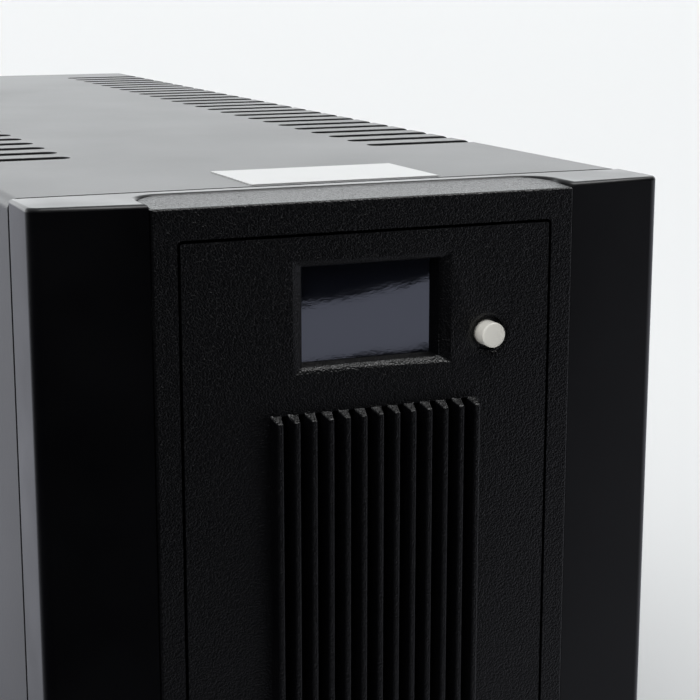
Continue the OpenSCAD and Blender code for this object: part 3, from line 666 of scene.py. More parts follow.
@dataclass(frozen=True)
class CircuitBoard(Finish):
    """Solder mask over copper tracks: straight runs and round pads under a gloss."""

    def fill(self, sheet: Sheet) -> None:
        """Bricks of two sizes stand for the tracks, cells for the pads."""
        runs = {
            "Vector": sheet.place, "Scale": 90.0, "Mortar Size": 0.035,
            "Color1": (1, 1, 1, 1), "Color2": (0.8, 0.8, 0.8, 1), "Mortar": (0, 0, 0, 1),
        }
        tracks = sheet.node("ShaderNodeTexBrick", runs, offset=0.3, squash=0.7).outputs[0]
        pads = sheet.spread(sheet.cells(260.0), 1.0, 0.0, 0.12, 0.17)
        mask = sheet.blend(tracks, tuple(c * 1.7 for c in self.colour), self.colour)
        stops = {"Factor": pads, 6: mask, 7: (0.55, 0.55, 0.52, 1.0)}
        tin = sheet.node("ShaderNodeMix", stops, data_type="RGBA")
        sheet.feed("Base Color", tin.outputs[2])
        sheet.feed("Metallic", pads)
        sheet.feed("Normal", sheet.relief(tracks, 0.00003, self.base_normal(sheet)))


@dataclass(frozen=True)
class Paper(Finish):
    """A coated label: paper fibre and a faint sheen."""

    def fill(self, sheet: Sheet) -> None:
        """Fine stretched noise is the fibre, broad noise the tone."""
        fibre = sheet.noise(1.0, 4.0, 0.7, sheet.stretched((1500.0, 500.0, 1500.0)))
        self.shades(sheet, sheet.noise(55.0, 3.0), 0.03)
        sheet.feed("Normal", sheet.relief(fibre, 0.000006, self.base_normal(sheet)))


@dataclass(frozen=True)
class Foam(Finish):
    """Open-cell foam: pits with pale struts between them, the pits darkened with painted shade."""

    def fill(self, sheet: Sheet) -> None:
        """Cell distance makes the pits and paints their shade into the colour."""
        pits = sheet.cells(900.0)
        sheet.set(Specular_IOR_Level=0.05)
        # painted shade: the colour darkens in the pits
        self.shades(sheet, pits, 0.7)
        sheet.feed("Normal", sheet.relief(sheet.math("SUBTRACT", 1.0, pits), 0.0008))


@dataclass(frozen=True)
class Wound(Finish):
    """Enamelled copper wire wound close: round ridges beside each other, with painted shade in the grooves
    between them.
    """

    ridge_scale: float = 700.0

    def fill(self, sheet: Sheet) -> None:
        """A wave pattern makes the turns of wire, and the same wave paints shade into the grooves between
        them.
        """
        waves = {"Vector": sheet.place, "Scale": self.ridge_scale, "Distortion": 0.6}
        turns = sheet.node("ShaderNodeTexWave", waves)
        sheet.set(Metallic=0.85, Coat_Weight=0.6, Coat_Roughness=0.15)
        # painted shade: the colour darkens in the grooves between turns
        self.shades(sheet, turns.outputs[1], 0.35)
        sheet.feed("Normal", sheet.relief(turns.outputs[1], 0.0003, self.base_normal(sheet)))


class Wardrobe:
    """Every finish on the object, by the record's material slot."""

    CASE = PowderCoat("case_paint", (0.011, 0.011, 0.012), 0.42, 0.00025)
    HOOD = Moulded("hood_plastic", (0.0005, 0.0005, 0.0012), 0.34)
    GRAIN = Grained("grained_plastic", (0.0005, 0.0005, 0.0010), 0.34)
    WINDOW = DarkWindow("lens", (0.004, 0.0045, 0.007), 0.03)
    LCD = Glossy("lcd", (0.02, 0.022, 0.026), 0.12)
    BUTTON = Glossy("button_ivory", (0.78, 0.76, 0.70), 0.34)
    ZINC = BareMetal("zinc_steel", (0.60, 0.61, 0.62), 0.38, 0.0002)
    PLATED = BareMetal("plated_metal", (0.72, 0.72, 0.73), 0.22, 0.00015)
    SCREW = PowderCoat("screw_black", (0.02, 0.02, 0.021), 0.35, 0.00015)
    CIRCUIT = CircuitBoard("circuit_green", (0.015, 0.10, 0.04), 0.3)
    COMPONENT = Moulded("component_black", (0.012, 0.012, 0.012), 0.45, 0.00015)
    SOCKET = Moulded("socket_black", (0.010, 0.010, 0.011), 0.4, 0.0002)
    BRASS = BareMetal("brass_contact", (0.76, 0.58, 0.26), 0.28, 0.00015)
    COPPER = Wound("copper_wire", (0.62, 0.26, 0.09), 0.35)
    ALUMINIUM = BareMetal("heat_aluminium", (0.74, 0.75, 0.76), 0.34, 0.0002)
    CORE = Moulded("core_steel", (0.07, 0.065, 0.06), 0.5, 0.0002)
    SLEEVE = Glossy("capacitor_sleeve", (0.02, 0.03, 0.09), 0.3, 0.0002)
    RELAY = Glossy("relay_blue", (0.02, 0.08, 0.30), 0.3, 0.0002)
    BATTERY = Moulded("battery_case", (0.045, 0.047, 0.052), 0.5, 0.0003)
    RED = Glossy("cable_red", (0.45, 0.015, 0.012), 0.4)
    BLACK = Glossy("cable_black", (0.012, 0.012, 0.012), 0.4)
    RIBBON = Glossy("ribbon_grey", (0.36, 0.36, 0.38), 0.45)
    RUBBER = Moulded("rubber_black", (0.014, 0.014, 0.014), 0.75, 0.0003, pit=0.00002, pit_scale=1500.0)
    # painted shade: a near-black, dull sheet under the cover's seam that stands in for the shade in the gap
    SEAM_SHADE = Foam("rubber_black", (0.0012, 0.0012, 0.0012), 1.0)
    FOAM = Foam("filter_foam", (0.006, 0.006, 0.006), 0.95)
    GREEN = Moulded("terminal_green", (0.015, 0.20, 0.06), 0.4, 0.0002)
    LABEL = Paper("label_white", (0.62, 0.62, 0.615), 0.5)
    SILVER = Paper("label_silver", (0.50, 0.50, 0.51), 0.35)
    FAN = Moulded("fan_black", (0.014, 0.014, 0.015), 0.42, 0.0003)

    @classmethod
    def for_slot(cls, slot: str) -> Finish:
        """The finish that a material slot of the record takes."""
        finishes = [value for value in vars(cls).values() if isinstance(value, Finish)]
        return next(finish for finish in finishes if finish.slot == slot)

    @classmethod
    def dress_nodes(cls) -> None:
        """Gives every CAD node the finish of its slot."""
        for part in frame["record"]["subparts"]:
            obj = frame["nodes"][part["node"]]
            obj.data.materials.clear()
            obj.data.materials.append(cls.for_slot(part["material_slot"]).material())


# ---------------------------------------------------------------- front


@dataclass
class Bezel:
    """The hood and the grained panel that fills it, with their edges eased."""

    hood_ease: float = 0.9 * MM
    panel_ease: float = 0.45 * MM

    def build(self) -> None:
        """Makes the two mouldings from their CAD nodes."""
        high = box_of("hood")[1]
        lip = high[1] - 6.5 * MM

        def outside(middles: Array) -> Array:
            """Edges of the hood in front of its lip, on its outer faces."""
            outer = (middles[:, 2] > high[2] - 0.1 * MM) | (np.abs(middles[:, 0]) > high[0] - 0.1 * MM)
            return (middles[:, 1] < lip) & outer

        hood = Piece("hood_shell", "case", Wardrobe.HOOD, ("hood",))
        hood.from_node("hood", self.hood_ease, 4, outside)
        inset_high = box_of("display_panel")[1]

        def outer(middles: Array) -> Array:
            """Edges of the panel that lie outside the opening for the display panel."""
            clear = 1.5 * MM
            return (middles[:, 2] > inset_high[2] + clear) | (np.abs(middles[:, 0]) > inset_high[0] + clear)

        panel = Piece("grained_panel", "case", Wardrobe.GRAIN, ("front_panel",))
        panel.from_node("front_panel", self.panel_ease, 3, outer)


@dataclass
class DisplayUnit:
    """The inset panel with its ribs, the window, the display behind it and the circuit board."""

    ease: float = 0.4 * MM
    conductors: int = 16
    conductor_half: float = 0.28 * MM
    conductor_swell: float = 0.16 * MM
    cable_sag: float = 0.05 * MM
    plug_length: float = 6.5 * MM
    chip_xs: tuple[float, float] = (-22 * MM, -4 * MM)

    def build(self) -> None:
        """Makes the panel, the window, the flat cable and the small parts of the board."""
        window_low, window_high = box_of("lcd_lens")
        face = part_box("front_panel")[0].y

        def seen(middles: Array) -> Array:
            """Edges of the window's recess and of the ribs' fronts."""
            x, y, z = middles.T
            across = (x > window_low[0] - 2 * MM) & (x < window_high[0] + 2 * MM)
            recess = across & (z > window_low[2] - MM) & (z < window_high[2] + MM)
            ribs = y < face - 0.1 * MM
            return (recess & (y < face + 1.2 * MM)) | ribs

        panel = Piece("display_face", "display_door", Wardrobe.GRAIN, ("display_panel",))
        panel.from_node("display_panel", self.ease, 3, seen)
        self.build_window()
        self.build_ribbon()
        self.build_board_parts()

    def build_window(self) -> None:
        """The window is a thin plate with eased rims."""
        low, high = box_of("lcd_lens")
        outline = round_rectangle(high[0] - low[0], high[2] - low[2], 0.8 * MM)
        centre = ((low[0] + high[0]) / 2, low[1], (low[2] + high[2]) / 2)
        plate = prism(outline, centre, Axis.Y, high[1] - low[1], 0.1 * MM)
        Piece("display_window", "display_door", Wardrobe.WINDOW, ("lcd_lens",)).from_skin(plate)

    def build_ribbon(self) -> None:
        """The flat cable: round conductors side by side, carried backwards with a slight sag.

        Its half thickness at a place x across is conductor_half plus conductor_swell times
        |sin(pi x / pitch)|, so that it is thinnest between conductors. Its middle line sags by
        cable_sag times sin^2, twice on its way.
        """
        low, high = box_of("ribbon_cable")
        middle = (low[2] + high[2]) / 2
        start, end = low[1], high[1] - self.plug_length
        x = np.linspace(low[0] + 1 * MM, high[0] - 1 * MM, self.conductors * 6 + 1)
        pitch = (x[-1] - x[0]) / self.conductors
        swell = np.abs(np.sin(math.pi * (x - x[0]) / pitch))
        half = self.conductor_half + self.conductor_swell * swell
        loop_x = np.concatenate([x, x[::-1]])
        loop_z = np.concatenate([half, -half[::-1]])
        along = np.linspace(0, 1, 25)[:, None]
        sag = self.cable_sag * np.sin(2 * math.pi * along) ** 2
        back = start + (end - start) * along
        points = np.stack(np.broadcast_arrays(loop_x, back, middle + loop_z - sag), axis=-1)
        cable = grid(points, wrap_columns=True, capped=True)
        plug = rounded_block([low[0], end - 0.5 * MM, low[2]], high, 0.5 * MM)
        Piece("flat_cable", "display_door", Wardrobe.RIBBON, ("ribbon_cable",)).from_skin(cable)
        Piece("flat_cable_plug", "display_door", Wardrobe.COMPONENT).from_skin(plug)

    def build_board_parts(self) -> None:
        """Small parts on the back of the display's board, in two rows clear of its screws."""
        low, high = box_of("display_board")
        part = rounded_block([-1.6 * MM, 0, -0.8 * MM], [1.6 * MM, 1.1 * MM, 0.8 * MM], 0.2 * MM, 2)
        chip = rounded_block([-5 * MM, 0, -5 * MM], [5 * MM, 1.6 * MM, 5 * MM], 0.25 * MM, 2)
        xs = np.linspace(low[0] + 9 * MM, high[0] - 40 * MM, 7)
        rows = np.array([low[2] + 4 * MM, high[2] - 4 * MM])
        x, z = (a.ravel() for a in np.meshgrid(xs, rows))
        places = np.stack([x, high[1] + 0 * x, z], axis=-1)
        chip_places = np.array([[x, high[1], centre_of("display_board")[2]] for x in self.chip_xs])
        skins = together([copies(part, places), copies(chip, chip_places)])
        Piece("display_board_parts", "display_door", Wardrobe.COMPONENT).from_skin(skins)


@dataclass
class PowerButton:
    """The ivory cap and the stem behind it."""

    rim: float = 0.45 * MM
    dome: float = 0.18 * MM

    def build(self) -> None:
        """Turns the cap: a slightly domed face, a round rim, the barrel, the flange and the stem."""
        low, high = box_of("power_button")
        centre = centre_of("power_button")
        radius = 2.9 * MM
        turn = np.radians(np.linspace(90, 0, 7))
        face = [(radius * t, self.dome * t * t) for t in np.linspace(0, 1 - self.rim / radius, 7)]
        rim = [
            (radius - self.rim + self.rim * math.cos(a), self.dome + self.rim * (1 - math.sin(a)))
            for a in turn
        ]
        depth = high[1] - low[1]
        flange = depth - 4.2 * MM
        back = [
            (radius, flange), (4.0 * MM, flange), (4.0 * MM, flange + 0.8 * MM),
            (1.6 * MM, flange + 0.8 * MM), (1.6 * MM, depth), (0.0, depth),
        ]
        profile = face + rim + back
        origin = (centre[0], low[1], centre[2])
        cap = Piece("button_cap", "power_button", Wardrobe.BUTTON, ("power_button",))
        cap.from_skin(lathe(profile, origin, Axis.Y, 64))


# ---------------------------------------------------------------- rear and inside


@dataclass
class Fan:
    """The rotor with twisted blades and the welded wire guard over it."""

    blades: int = 7
    hub_radius: float = 17.0 * MM
    hub_wall: float = 2.0 * MM
    hub_ease: float = 1.6 * MM
    hub_set_back: float = 3.4 * MM
    blade_span: float = 19.8 * MM
    root_pitch: float = 52.0
    pitch_fall: float = 22.0
    sweep: float = 0.35
    wire: float = 0.9 * MM
    spoke_wire: float = 0.62 * MM
    inner_ring: float = 10.0 * MM
    ring_step: float = 7.0 * MM
    ring_count: int = 5

    def build(self) -> None:
        """Makes the rotor and the guard."""
        low, high = box_of("fan_frame")
        self.centre = np.array([(low[0] + high[0]) / 2, high[1], (low[2] + high[2]) / 2])
        self.rotor()
        self.guard()

    def blade(self, turn: float, middle: float) -> Skin:
        """One blade: a thin cambered section that is twisted and swept along its span.

        At span s from 0 to 1 the radius is r, the pitch falls by pitch_fall degrees and the
        section is shifted forwards by sweep s^2 radians. A section point at chord c in -0.5..0.5
        lies at angle c w cos(pitch) / r and depth 0.95 c w sin(pitch), and is lifted square to
        the chord by the camber times (1 - 4 c^2), give or take t sqrt(1 - 4 c^2) for the two
        sides.

        Args:
            turn: The blade's angle round the hub.
            middle: The depth of the blade's middle.

        Returns:
            The closed surface.
        """
        s = np.linspace(0, 1, 12)[:, None]
        loop = np.linspace(0, 2 * math.pi, 25)[None, :-1]
        c, side = 0.5 * np.cos(loop), np.sign(np.sin(loop))
        radius = self.hub_radius - 0.6 * MM + s * self.blade_span
        pitch = np.radians(self.root_pitch - self.pitch_fall * s)
        width = (17.5 + 4.0 * s) * MM
        bulge = np.sqrt(np.clip(1 - 4 * c**2, 0, 1))
        lift = 1.2 * MM * (1 - 4 * c**2) + side * bulge * (0.75 - 0.3 * s) * MM
        angle = turn + self.sweep * s**2 + (c * width * np.cos(pitch) - lift * np.sin(pitch)) / radius
        depth = middle + c * width * np.sin(pitch) * 0.95 + lift * np.cos(pitch)
        points = turn_to(Axis.Y, radius * np.cos(angle), radius * np.sin(angle), depth)
        return grid(points + self.centre * [1, 0, 1], wrap_columns=True, capped=True)

    def rotor(self) -> None:
        """The cup-shaped hub, open towards the front, and its blades."""
        low, high = box_of("fan_rotor")
        front, back = low[1], high[1] - self.hub_set_back
        r, ease, wall = self.hub_radius, self.hub_ease, self.hub_wall
        outer = [(r - ease + ease * c, back - ease + ease * a) for a, c in arc((0, 0), 1.0, 0, 90, 6)]
        inside = [(r - wall, front), (r - wall, back - wall), (0.0, back - wall)]
        cup = [(0.0, back)] + outer + [(r, front)] + inside
        hub = lathe(cup, self.centre * [1, 0, 1], Axis.Y, 72)
        turns = np.arange(self.blades) * 2 * math.pi / self.blades
        middle = (front + back) / 2 - 0.4 * MM
        skin = together([hub] + [self.blade(turn, middle) for turn in turns])
        Piece("rotor", "fan_rotor", Wardrobe.FAN, ("fan_rotor",)).from_skin(skin)

    def guard(self) -> None:
        """Round wire rings, four spokes and an eyelet at each corner."""
        low, high = box_of("fan_guard")
        eyelet_radius = 4 * MM
        reach = (high[0] - low[0]) / 2 - eyelet_radius
        y = high[1] - self.wire
        turn = np.linspace(0, 2 * math.pi, 97)[:-1]
        skins = []
        for k in range(self.ring_count):
            radius = self.inner_ring + k * self.ring_step
            ring = turn_to(Axis.Y, radius * np.cos(turn), radius * np.sin(turn), y + 0 * turn)
            skins.append(tube(ring + self.centre * [1, 0, 1], self.wire, 10, closed=True))
        for a in np.radians([45, 135, 225, 315]):
            out = np.linspace(self.inner_ring - 1 * MM, reach * math.sqrt(2) - 2.6 * MM, 16)
            spoke = turn_to(Axis.Y, out * np.cos(a), out * np.sin(a), low[1] + 0.65 * MM + 0 * out)
            skins.append(tube(spoke + self.centre * [1, 0, 1], self.spoke_wire, 8))
            front = [(2.3, 0.25), (2.55, 0.02), (3.7, 0.02), (3.98, 0.3)]
            profile = front + [(r, 1.0 - h) for r, h in front[::-1]]
            aside = [reach * np.sign(math.cos(a)), low[1], reach * np.sign(math.sin(a))]
            corner = self.centre * [1, 0, 1] + aside
            eyelet = np.array(profile + profile[:1]) * MM
            radius, height = eyelet[:, :1], eyelet[:, 1:]
            ring = turn_to(Axis.Y, radius * np.cos(turn[::3]), radius * np.sin(turn[::3]), height)
            skins.append(grid(ring + corner, wrap_columns=True))
        Piece("wire_guard", "case", Wardrobe.PLATED, ("fan_guard",)).from_skin(together(skins))


@dataclass
class RearPanel:
    """Contacts in the sockets, the pins of the inlet, the breaker's button and the signal ports."""

    def build(self) -> None:
        """Makes every small piece of the rear panel."""
        self.outlet_contacts()
        self.inlet_pins()
        self.reset_button()
        self.signal_ports()

    def outlet_contacts(self) -> None:
        """Three sprung contacts deep in each outlet."""
        low, high = box_of("outlets")
        columns = np.array([low[0] + 15.5 * MM, high[0] - 15.5 * MM])
        rows = np.linspace(low[2] + 12 * MM, high[2] - 12 * MM, 3)
        x, z = (a.ravel() for a in np.meshgrid(columns, rows))
        back = high[1] - 16.8 * MM
        contact = rounded_block([-0.95 * MM, 0, -2.1 * MM], [0.95 * MM, 9 * MM, 2.1 * MM], 0.3 * MM)
        slots = np.array([[-7, 0, -1.4], [7, 0, -1.4], [0, 0, 2.4]]) * MM
        places = (np.stack([x, back + 0 * x, z], axis=-1)[:, None, :] + slots).reshape(-1, 3)
        Piece("outlet_contacts", "case", Wardrobe.BRASS).from_skin(copies(contact, places))

    def inlet_pins(self) -> None:
        """Three plated pins with round tips."""
        low, high = box_of("inlet_pins")
        size = np.array([2 * MM, high[1] - low[1], 4 * MM])
        pin = rounded_block(np.zeros(3), size, 0.7 * MM, 4)
        starts = np.array([[low[0], low[1], low[2]], [high[0] - size[0], low[1], low[2]],
                           [(low[0] + high[0] - size[0]) / 2, low[1], high[2] - size[2]]])
        Piece("round_tipped_pins", "case", Wardrobe.PLATED, ("inlet_pins",)).from_skin(copies(pin, starts))

    def reset_button(self) -> None:
        """The breaker's button: a barrel with a round rim and a shallow dish in its face."""
        low, high = box_of("breaker_button")
        centre, r, length = centre_of("breaker_button"), (high[0] - low[0]) / 2, high[1] - low[1]
        rim = 0.6 * MM
        edge = [(r - rim + rim * a, length - rim + rim * b) for a, b in arc((0, 0), 1.0, 90, 0, 6)]
        slope = (r - rim - 0.3 * MM, length - 0.05 * MM)
        dish = [slope, (1.4 * MM, length - 0.35 * MM), (0.0, length - 0.4 * MM)]
        profile = [(0.0, 0.0), (r, 0.0)] + edge + dish
        cap = lathe(profile, (centre[0], low[1], centre[2]), Axis.Y, 48)
        Piece("reset_button", "breaker_button", Wardrobe.BUTTON, ("breaker_button",)).from_skin(cap)

    def signal_ports(self) -> None:
        """The tongue of the data socket and the sprung wires of the network sockets."""
        middle, usb_back = centre_of("usb_port"), box_of("usb_port")[1][1]
        half = np.array([2.7, 0.0, 1.6]) * MM
        start, end = middle - half, middle + half
        start[1], end[1] = usb_back - 12.4 * MM, usb_back - 3.0 * MM
        Piece("data_tongue", "case", Wardrobe.BUTTON).from_skin(rounded_block(start, end, 0.35 * MM))
        low, high = box_of("network_ports")
        t = np.linspace(0, 1, 18)
        bend = np.stack([0 * t, -12.2 * MM + 9.4 * MM * t, (2.7 - 3.6 * np.sin(t * 2.2)) * MM], axis=-1)
        bend[:, 1] += high[1]
        bend[:, 2] += (low[2] + high[2]) / 2
        wire = tube(bend, 0.17 * MM, 8)
        across = (np.arange(8) - 3.5) * 1.05 * MM
        x = np.concatenate([across + low[0] + 7.9 * MM, across + high[0] - 7.9 * MM])
        places = np.stack([x, 0 * x, 0 * x], axis=-1)
        Piece("network_wires", "case", Wardrobe.BRASS).from_skin(copies(wire, places))


@dataclass
class SteelCase:
    """The folded cover keeps its CAD mesh; a near-black, dull strip under the seam between it and the hood
    is painted shade for the gap.
    """

    def build(self) -> None:
        """Makes the dark strip under the seam that paints the gap's shade, along the top and down both
        sides.
        """
        hood_high, cover_low = box_of("hood")[1], box_of("top_cover")[0]
        half, top, bottom = hood_high[0], hood_high[2], box_of("hood")[0][2] + 2 * MM
        back, front = cover_low[1] - 0.04 * MM, cover_low[1] - 0.46 * MM
        bend, deep, under = 3 * MM, 1.1 * MM, 0.16 * MM
        blocks = [
            rounded_block([-half + bend, front, top - deep], [half - bend, back, top - under], 0.05 * MM),
            rounded_block([-half + under, front, bottom], [-half + deep, back, top - bend], 0.05 * MM),
            rounded_block([half - deep, front, bottom], [half - under, back, top - bend], 0.05 * MM),
        ]
        # painted shade: the dark strip darkens the seam gap in place of real shade
        Piece("seam_shade_strip", "case", Wardrobe.SEAM_SHADE).from_skin(together(blocks))


@dataclass
class PowerBoard:
    """The large parts of the power board: wound chokes and sleeved capacitors."""

    core_radius: float = 16.0 * MM
    winding_radius: float = 9.0 * MM
    wire: float = 0.95 * MM
    turns: int = 46
    can_radius: float = 12.5 * MM

    def build(self) -> None:
        """Makes the chokes and the capacitors."""
        self.chokes()
        self.capacitors()

    def chokes(self) -> None:
        """Two wound rings: a core, and a wire whose place is (R + r cos na, r sin na) turned by a."""
        low, high = box_of("chokes")
        major, minor, wire = self.core_radius, self.winding_radius, self.wire
        a = np.linspace(0, 2 * math.pi, self.turns * 14 + 1)[:-1]
        tilt = self.turns * a
        out = major + (minor - wire) * np.cos(tilt)
        path = np.stack([out * np.cos(a), (minor - wire) * np.sin(tilt), out * np.sin(a)], axis=-1)
        b = np.linspace(0, 2 * math.pi, 25)[:-1]
        core_out = major + (minor - 2 * wire) * np.cos(b)[:, None]
        ring = np.linspace(0, 2 * math.pi, 65)[:-1]
        core_depth = (minor - 2 * wire) * np.sin(b)[:, None]
        core = turn_to(Axis.Y, core_out * np.cos(ring), core_out * np.sin(ring), core_depth)
        winding = tube(path, wire, 7, closed=True)
        centre_z = high[2] - major - minor
        ys = np.array([low[1] + minor, high[1] - minor])
        places = np.stack([0 * ys, ys, centre_z + 0 * ys], axis=-1)
        Piece("choke_windings", "case", Wardrobe.COPPER, ("chokes",)).from_skin(copies(winding, places), 80)
        cores = copies(grid(core, wrap_rows=True, wrap_columns=True), places)
        half = np.array([12, 8, 0]) * MM
        foot = rounded_block(-half, half + [0, 0, 2.4 * MM], 0.5 * MM)
        bases = [copies(foot, np.array([[0, y, low[2]]])) for y in ys]
        Piece("choke_cores", "case", Wardrobe.CORE).from_skin(together([cores] + bases))

    def capacitors(self) -> None:
        """Sleeved cans: a round shoulder, a rolled groove near the foot and a dished top."""
        low, high = box_of("bus_capacitors")
        r, tall = self.can_radius, high[2] - low[2]
        shoulder = arc((r - 1.6 * MM, tall - 1.6 * MM), 1.6 * MM, 0, 90, 6)
        groove = arc((r + 0.35 * MM, 4.6 * MM), 1.3 * MM, 255, 105, 8)
        groove[:, 0] = np.minimum(groove[:, 0], r)
        profile = [(0.0, 0.0), (r - 0.5 * MM, 0.0), (r, 0.5 * MM)] + groove.tolist() + shoulder.tolist()
        profile += [(9.8 * MM, tall - 0.1 * MM), (9.4 * MM, tall - 0.5 * MM), (0.0, tall - 0.5 * MM)]
        can = lathe(profile, (0, 0, 0), Axis.Z, 56)
        xs, ys = np.array([low[0] + r, high[0] - r]), np.array([low[1] + r, high[1] - r])
        x, y = (a.ravel() for a in np.meshgrid(xs, ys))
        places = np.stack([x, y, low[2] + 0 * x], axis=-1)
        cans = Piece("sleeved_capacitors", "case", Wardrobe.SLEEVE, ("bus_capacitors",))
        cans.from_skin(copies(can, places))


# ---------------------------------------------------------------- studio


@dataclass
class Studio:
    """A pale table in a room that is bright behind and overhead, a soft sun, and the camera."""

    camera_lens: float = 92.6
    camera_yaw: float = 23.05
    camera_pitch: float = 12.03
    camera_back: float = 0.3582
    camera_side: float = -0.1578
    camera_rise: float = 0.0484
    sun_strength: float = 1.6
    sun_softness: float = 45.0
    room_light: float = 0.74
    low_light: float = 1.88
    overhead_light: float = 0.98
    backdrop: Colour = (0.862, 0.862, 0.862)
    box_size: float = 0.7
    box_power: float = 14.0
    box_distance: float = 1.3
    card_glow: float = 0.86
    mirror_level: float = 0.18
    mirror_across: float = 1.2
    mirror_back: float = 1.6

    def build(self) -> None:
        """Makes the table, the room, the lights and the camera, and shows light levels as they are."""
        bpy.context.scene.view_settings.view_transform = "Standard"
        self.table()
        self.card()
        self.room()
        self.sun()
        self.soft_box()
        self.view()

    def plane(self, name: str, corners: Array, sheet: Sheet) -> bpy.types.Object:
        """A flat stage piece through its corners, wearing a finished sheet."""
        mesh = bpy.data.meshes.new(name)
        mesh.from_pydata(corners.tolist(), [], [tuple(range(len(corners)))])
        mesh.materials.append(sheet.material)
        made = bpy.data.objects.new(name, mesh)
        bpy.context.scene.collection.objects.link(made)
        return made

    def table(self) -> None:
        """The table's top, whose front edge runs askew in front of the object."""
        corner, along = np.array([0.367, -1.194, 0.0]), np.array([0.87, -0.49, 0.0])
        back = np.array([-along[1], along[0], 0.0])
        reach = 9.0
        corners = corner + reach * np.array([-along, along, along + 2 * back, 2 * back - along])
        sheet = Sheet("table_top")
        sheet.set(Base_Color=(0.80, 0.80, 0.80, 1.0), Roughness=0.7, Specular_IOR_Level=0.2)
        self.dim_mirror(sheet)
        self.plane("table", corners, sheet)

    def dim_mirror(self, sheet: Sheet) -> None:
        """Shiny faces see a table that darkens forwards and to the left.

        Its level is mirror_level + mirror_across (x - 0.1) + mirror_back (y + 0.45), held
        between 0 and 0.86.

        Args:
            sheet: The table's node sheet.
        """
        parts = sheet.node("ShaderNodeSeparateXYZ", {0: sheet.place}).outputs
        across = sheet.math("MULTIPLY_ADD", parts["X"], self.mirror_across)
        level_at_origin = self.mirror_level - self.mirror_across * 0.1 + self.mirror_back * 0.45
        across.node.inputs[2].default_value = level_at_origin
        level = sheet.math("MULTIPLY_ADD", parts["Y"], self.mirror_back)
        sheet.tree.links.new(across, level.node.inputs[2])
        held = sheet.node("ShaderNodeClamp", {"Value": level, "Min": 0.0, "Max": 0.86}).outputs[0]
        cool = (0.88, 0.90, 1.0, 1.0)
        glow = sheet.node("ShaderNodeEmission", {"Strength": held, "Color": cool}).outputs[0]
        glossy = sheet.node("ShaderNodeLightPath").outputs["Is Glossy Ray"]
        mix = sheet.node("ShaderNodeMixShader", {0: glossy, 1: sheet.shader.outputs[0], 2: glow})
        sheet.tree.links.new(mix.outputs[0], sheet.tree.nodes["Material Output"].inputs[0])

    def card(self) -> None:
        """A bright card on the table that only shiny faces see: it lights the display window."""
        left, right, lift = 0.26, 0.60, 0.001
        back = [[left, -0.99, lift], [right, -1.04, lift]]
        corners = np.array(back + [[right, -1.305, lift], [left, -1.135, lift]])
        sheet = Sheet("bright_card")
        sheet.set(Base_Color=(0.0, 0.0, 0.0, 1.0), Emission_Color=(0.72, 0.77, 1.0, 1.0))
        sheet.set(Emission_Strength=self.card_glow)
        made = self.plane("bright_card", corners, sheet)
        made.visible_camera = made.visible_diffuse = made.visible_shadow = False

    def room(self) -> None:
        """The room: pale where it is looked at, bright behind and overhead, dark in front."""
        world = bpy.data.worlds.new("room")
        bpy.context.scene.world = world
        world.use_nodes = True
        tree = world.node_tree
        tree.nodes.clear()
        new, link = tree.nodes.new, tree.links.new
        parts = new("ShaderNodeSeparateXYZ")
        link(new("ShaderNodeTexCoord").outputs["Generated"], parts.inputs[0])

        def ramp(axis: str, start: float, end: float, level: float) -> Socket:
            """Rises smoothly from 0 to a level as one part of the direction goes from start to end."""
            node = new("ShaderNodeMapRange")
            node.interpolation_type = "SMOOTHSTEP"
            for slot, value in zip((1, 2, 3, 4), (start, end, 0.0, level)):
                node.inputs[slot].default_value = value
            link(parts.outputs[axis], node.inputs[0])
            return node.outputs[0]

        def sum_of(what: str, a: Socket, b: Socket) -> Socket:
            """One sum of two levels."""
            node = new("ShaderNodeMath")
            node.operation = what
            link(a, node.inputs[0])
            link(b, node.inputs[1])
            return node.outputs[0]

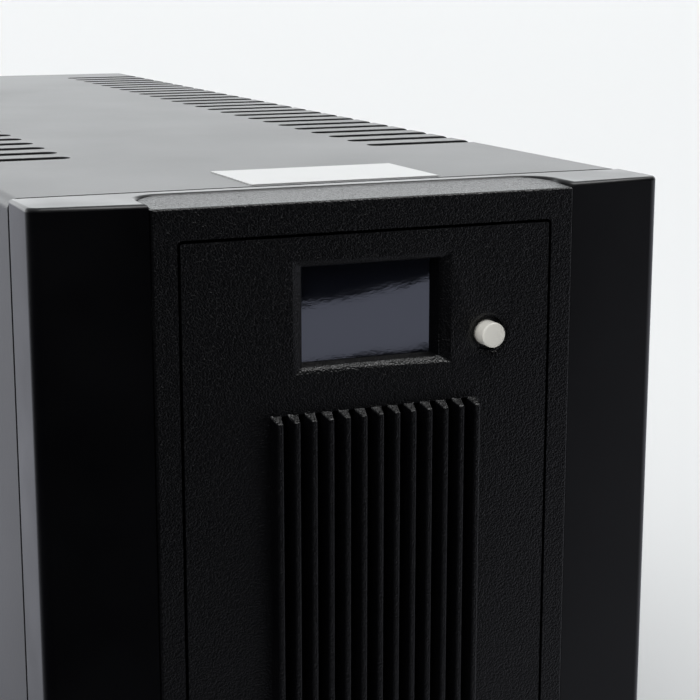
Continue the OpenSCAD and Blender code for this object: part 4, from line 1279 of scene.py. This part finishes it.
        low = sum_of("MULTIPLY", ramp("Y", 0.3, 0.7, self.low_light), ramp("Z", 0.45, 0.25, 1.0))
        behind = sum_of("ADD", ramp("Y", -0.15, 0.35, self.room_light), low)
        overhead = ramp("Z", 0.45, 0.85, self.overhead_light)
        level = sum_of("MULTIPLY", sum_of("MAXIMUM", behind, overhead), ramp("Z", -0.04, 0.0, 1.0))
        lit, seen = new("ShaderNodeBackground"), new("ShaderNodeBackground")
        link(level, lit.inputs["Strength"])
        lit.inputs["Color"].default_value = (0.96, 0.985, 1.0, 1.0)
        seen.inputs["Color"].default_value = (*self.backdrop, 1.0)
        rays, mix = new("ShaderNodeLightPath"), new("ShaderNodeMixShader")
        out = new("ShaderNodeOutputWorld")
        link(rays.outputs["Is Camera Ray"], mix.inputs[0])
        link(lit.outputs[0], mix.inputs[1])
        link(seen.outputs[0], mix.inputs[2])
        link(mix.outputs[0], out.inputs[0])

    def sun(self) -> None:
        """A very soft sun from the upper left in front."""
        data = bpy.data.lights.new("soft_sun", "SUN")
        data.energy, data.angle = self.sun_strength, math.radians(self.sun_softness)
        sun = bpy.data.objects.new("soft_sun", data)
        sun.visible_glossy = False
        sun.rotation_mode = "QUATERNION"
        sun.rotation_quaternion = Vector((0.62, 0.42, -0.66)).to_track_quat("-Z", "Y")
        bpy.context.scene.collection.objects.link(sun)

    def soft_box(self) -> None:
        """A soft box overhead that only shiny faces see: it draws the glints on upward edges."""
        data = bpy.data.lights.new("soft_box", "AREA")
        data.shape, data.size, data.energy = "SQUARE", self.box_size, self.box_power
        box = bpy.data.objects.new("soft_box", data)
        aim = Vector((0.36, -0.22, 0.90))
        box.location = Vector((0.0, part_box("front_panel")[0].y, 0.2)) + self.box_distance * aim
        box.rotation_mode = "QUATERNION"
        box.rotation_quaternion = (-aim).to_track_quat("-Z", "Y")
        box.visible_diffuse = box.visible_camera = False
        bpy.context.scene.collection.objects.link(box)

    def view(self) -> None:
        """The camera, placed from the front panel's face and the cover's top."""
        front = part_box("front_panel")[0].y
        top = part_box("top_cover")[1].z
        data = bpy.data.cameras.new("camera")
        data.lens, data.sensor_width = self.camera_lens, 36.0
        data.clip_start, data.clip_end = 0.01, 50.0
        camera = bpy.data.objects.new("camera", data)
        camera.location = (self.camera_side, front - self.camera_back, top + self.camera_rise)
        camera.rotation_euler = (math.radians(90 - self.camera_pitch), 0.0, math.radians(-self.camera_yaw))
        bpy.context.scene.collection.objects.link(camera)
        bpy.context.scene.camera = camera


# ---------------------------------------------------------------- all of it


def main() -> None:
    """Builds the studio and every sub-assembly, in order."""
    logging.basicConfig(level=logging.INFO, format="%(name)s: %(message)s")
    Studio().build()
    Wardrobe.dress_nodes()
    for part in (Bezel(), DisplayUnit(), PowerButton(), SteelCase(), RearPanel(), Fan(), PowerBoard()):
        LOG.info("building %s", type(part).__name__)
        part.build()


if __name__ == "__main__":
    main()
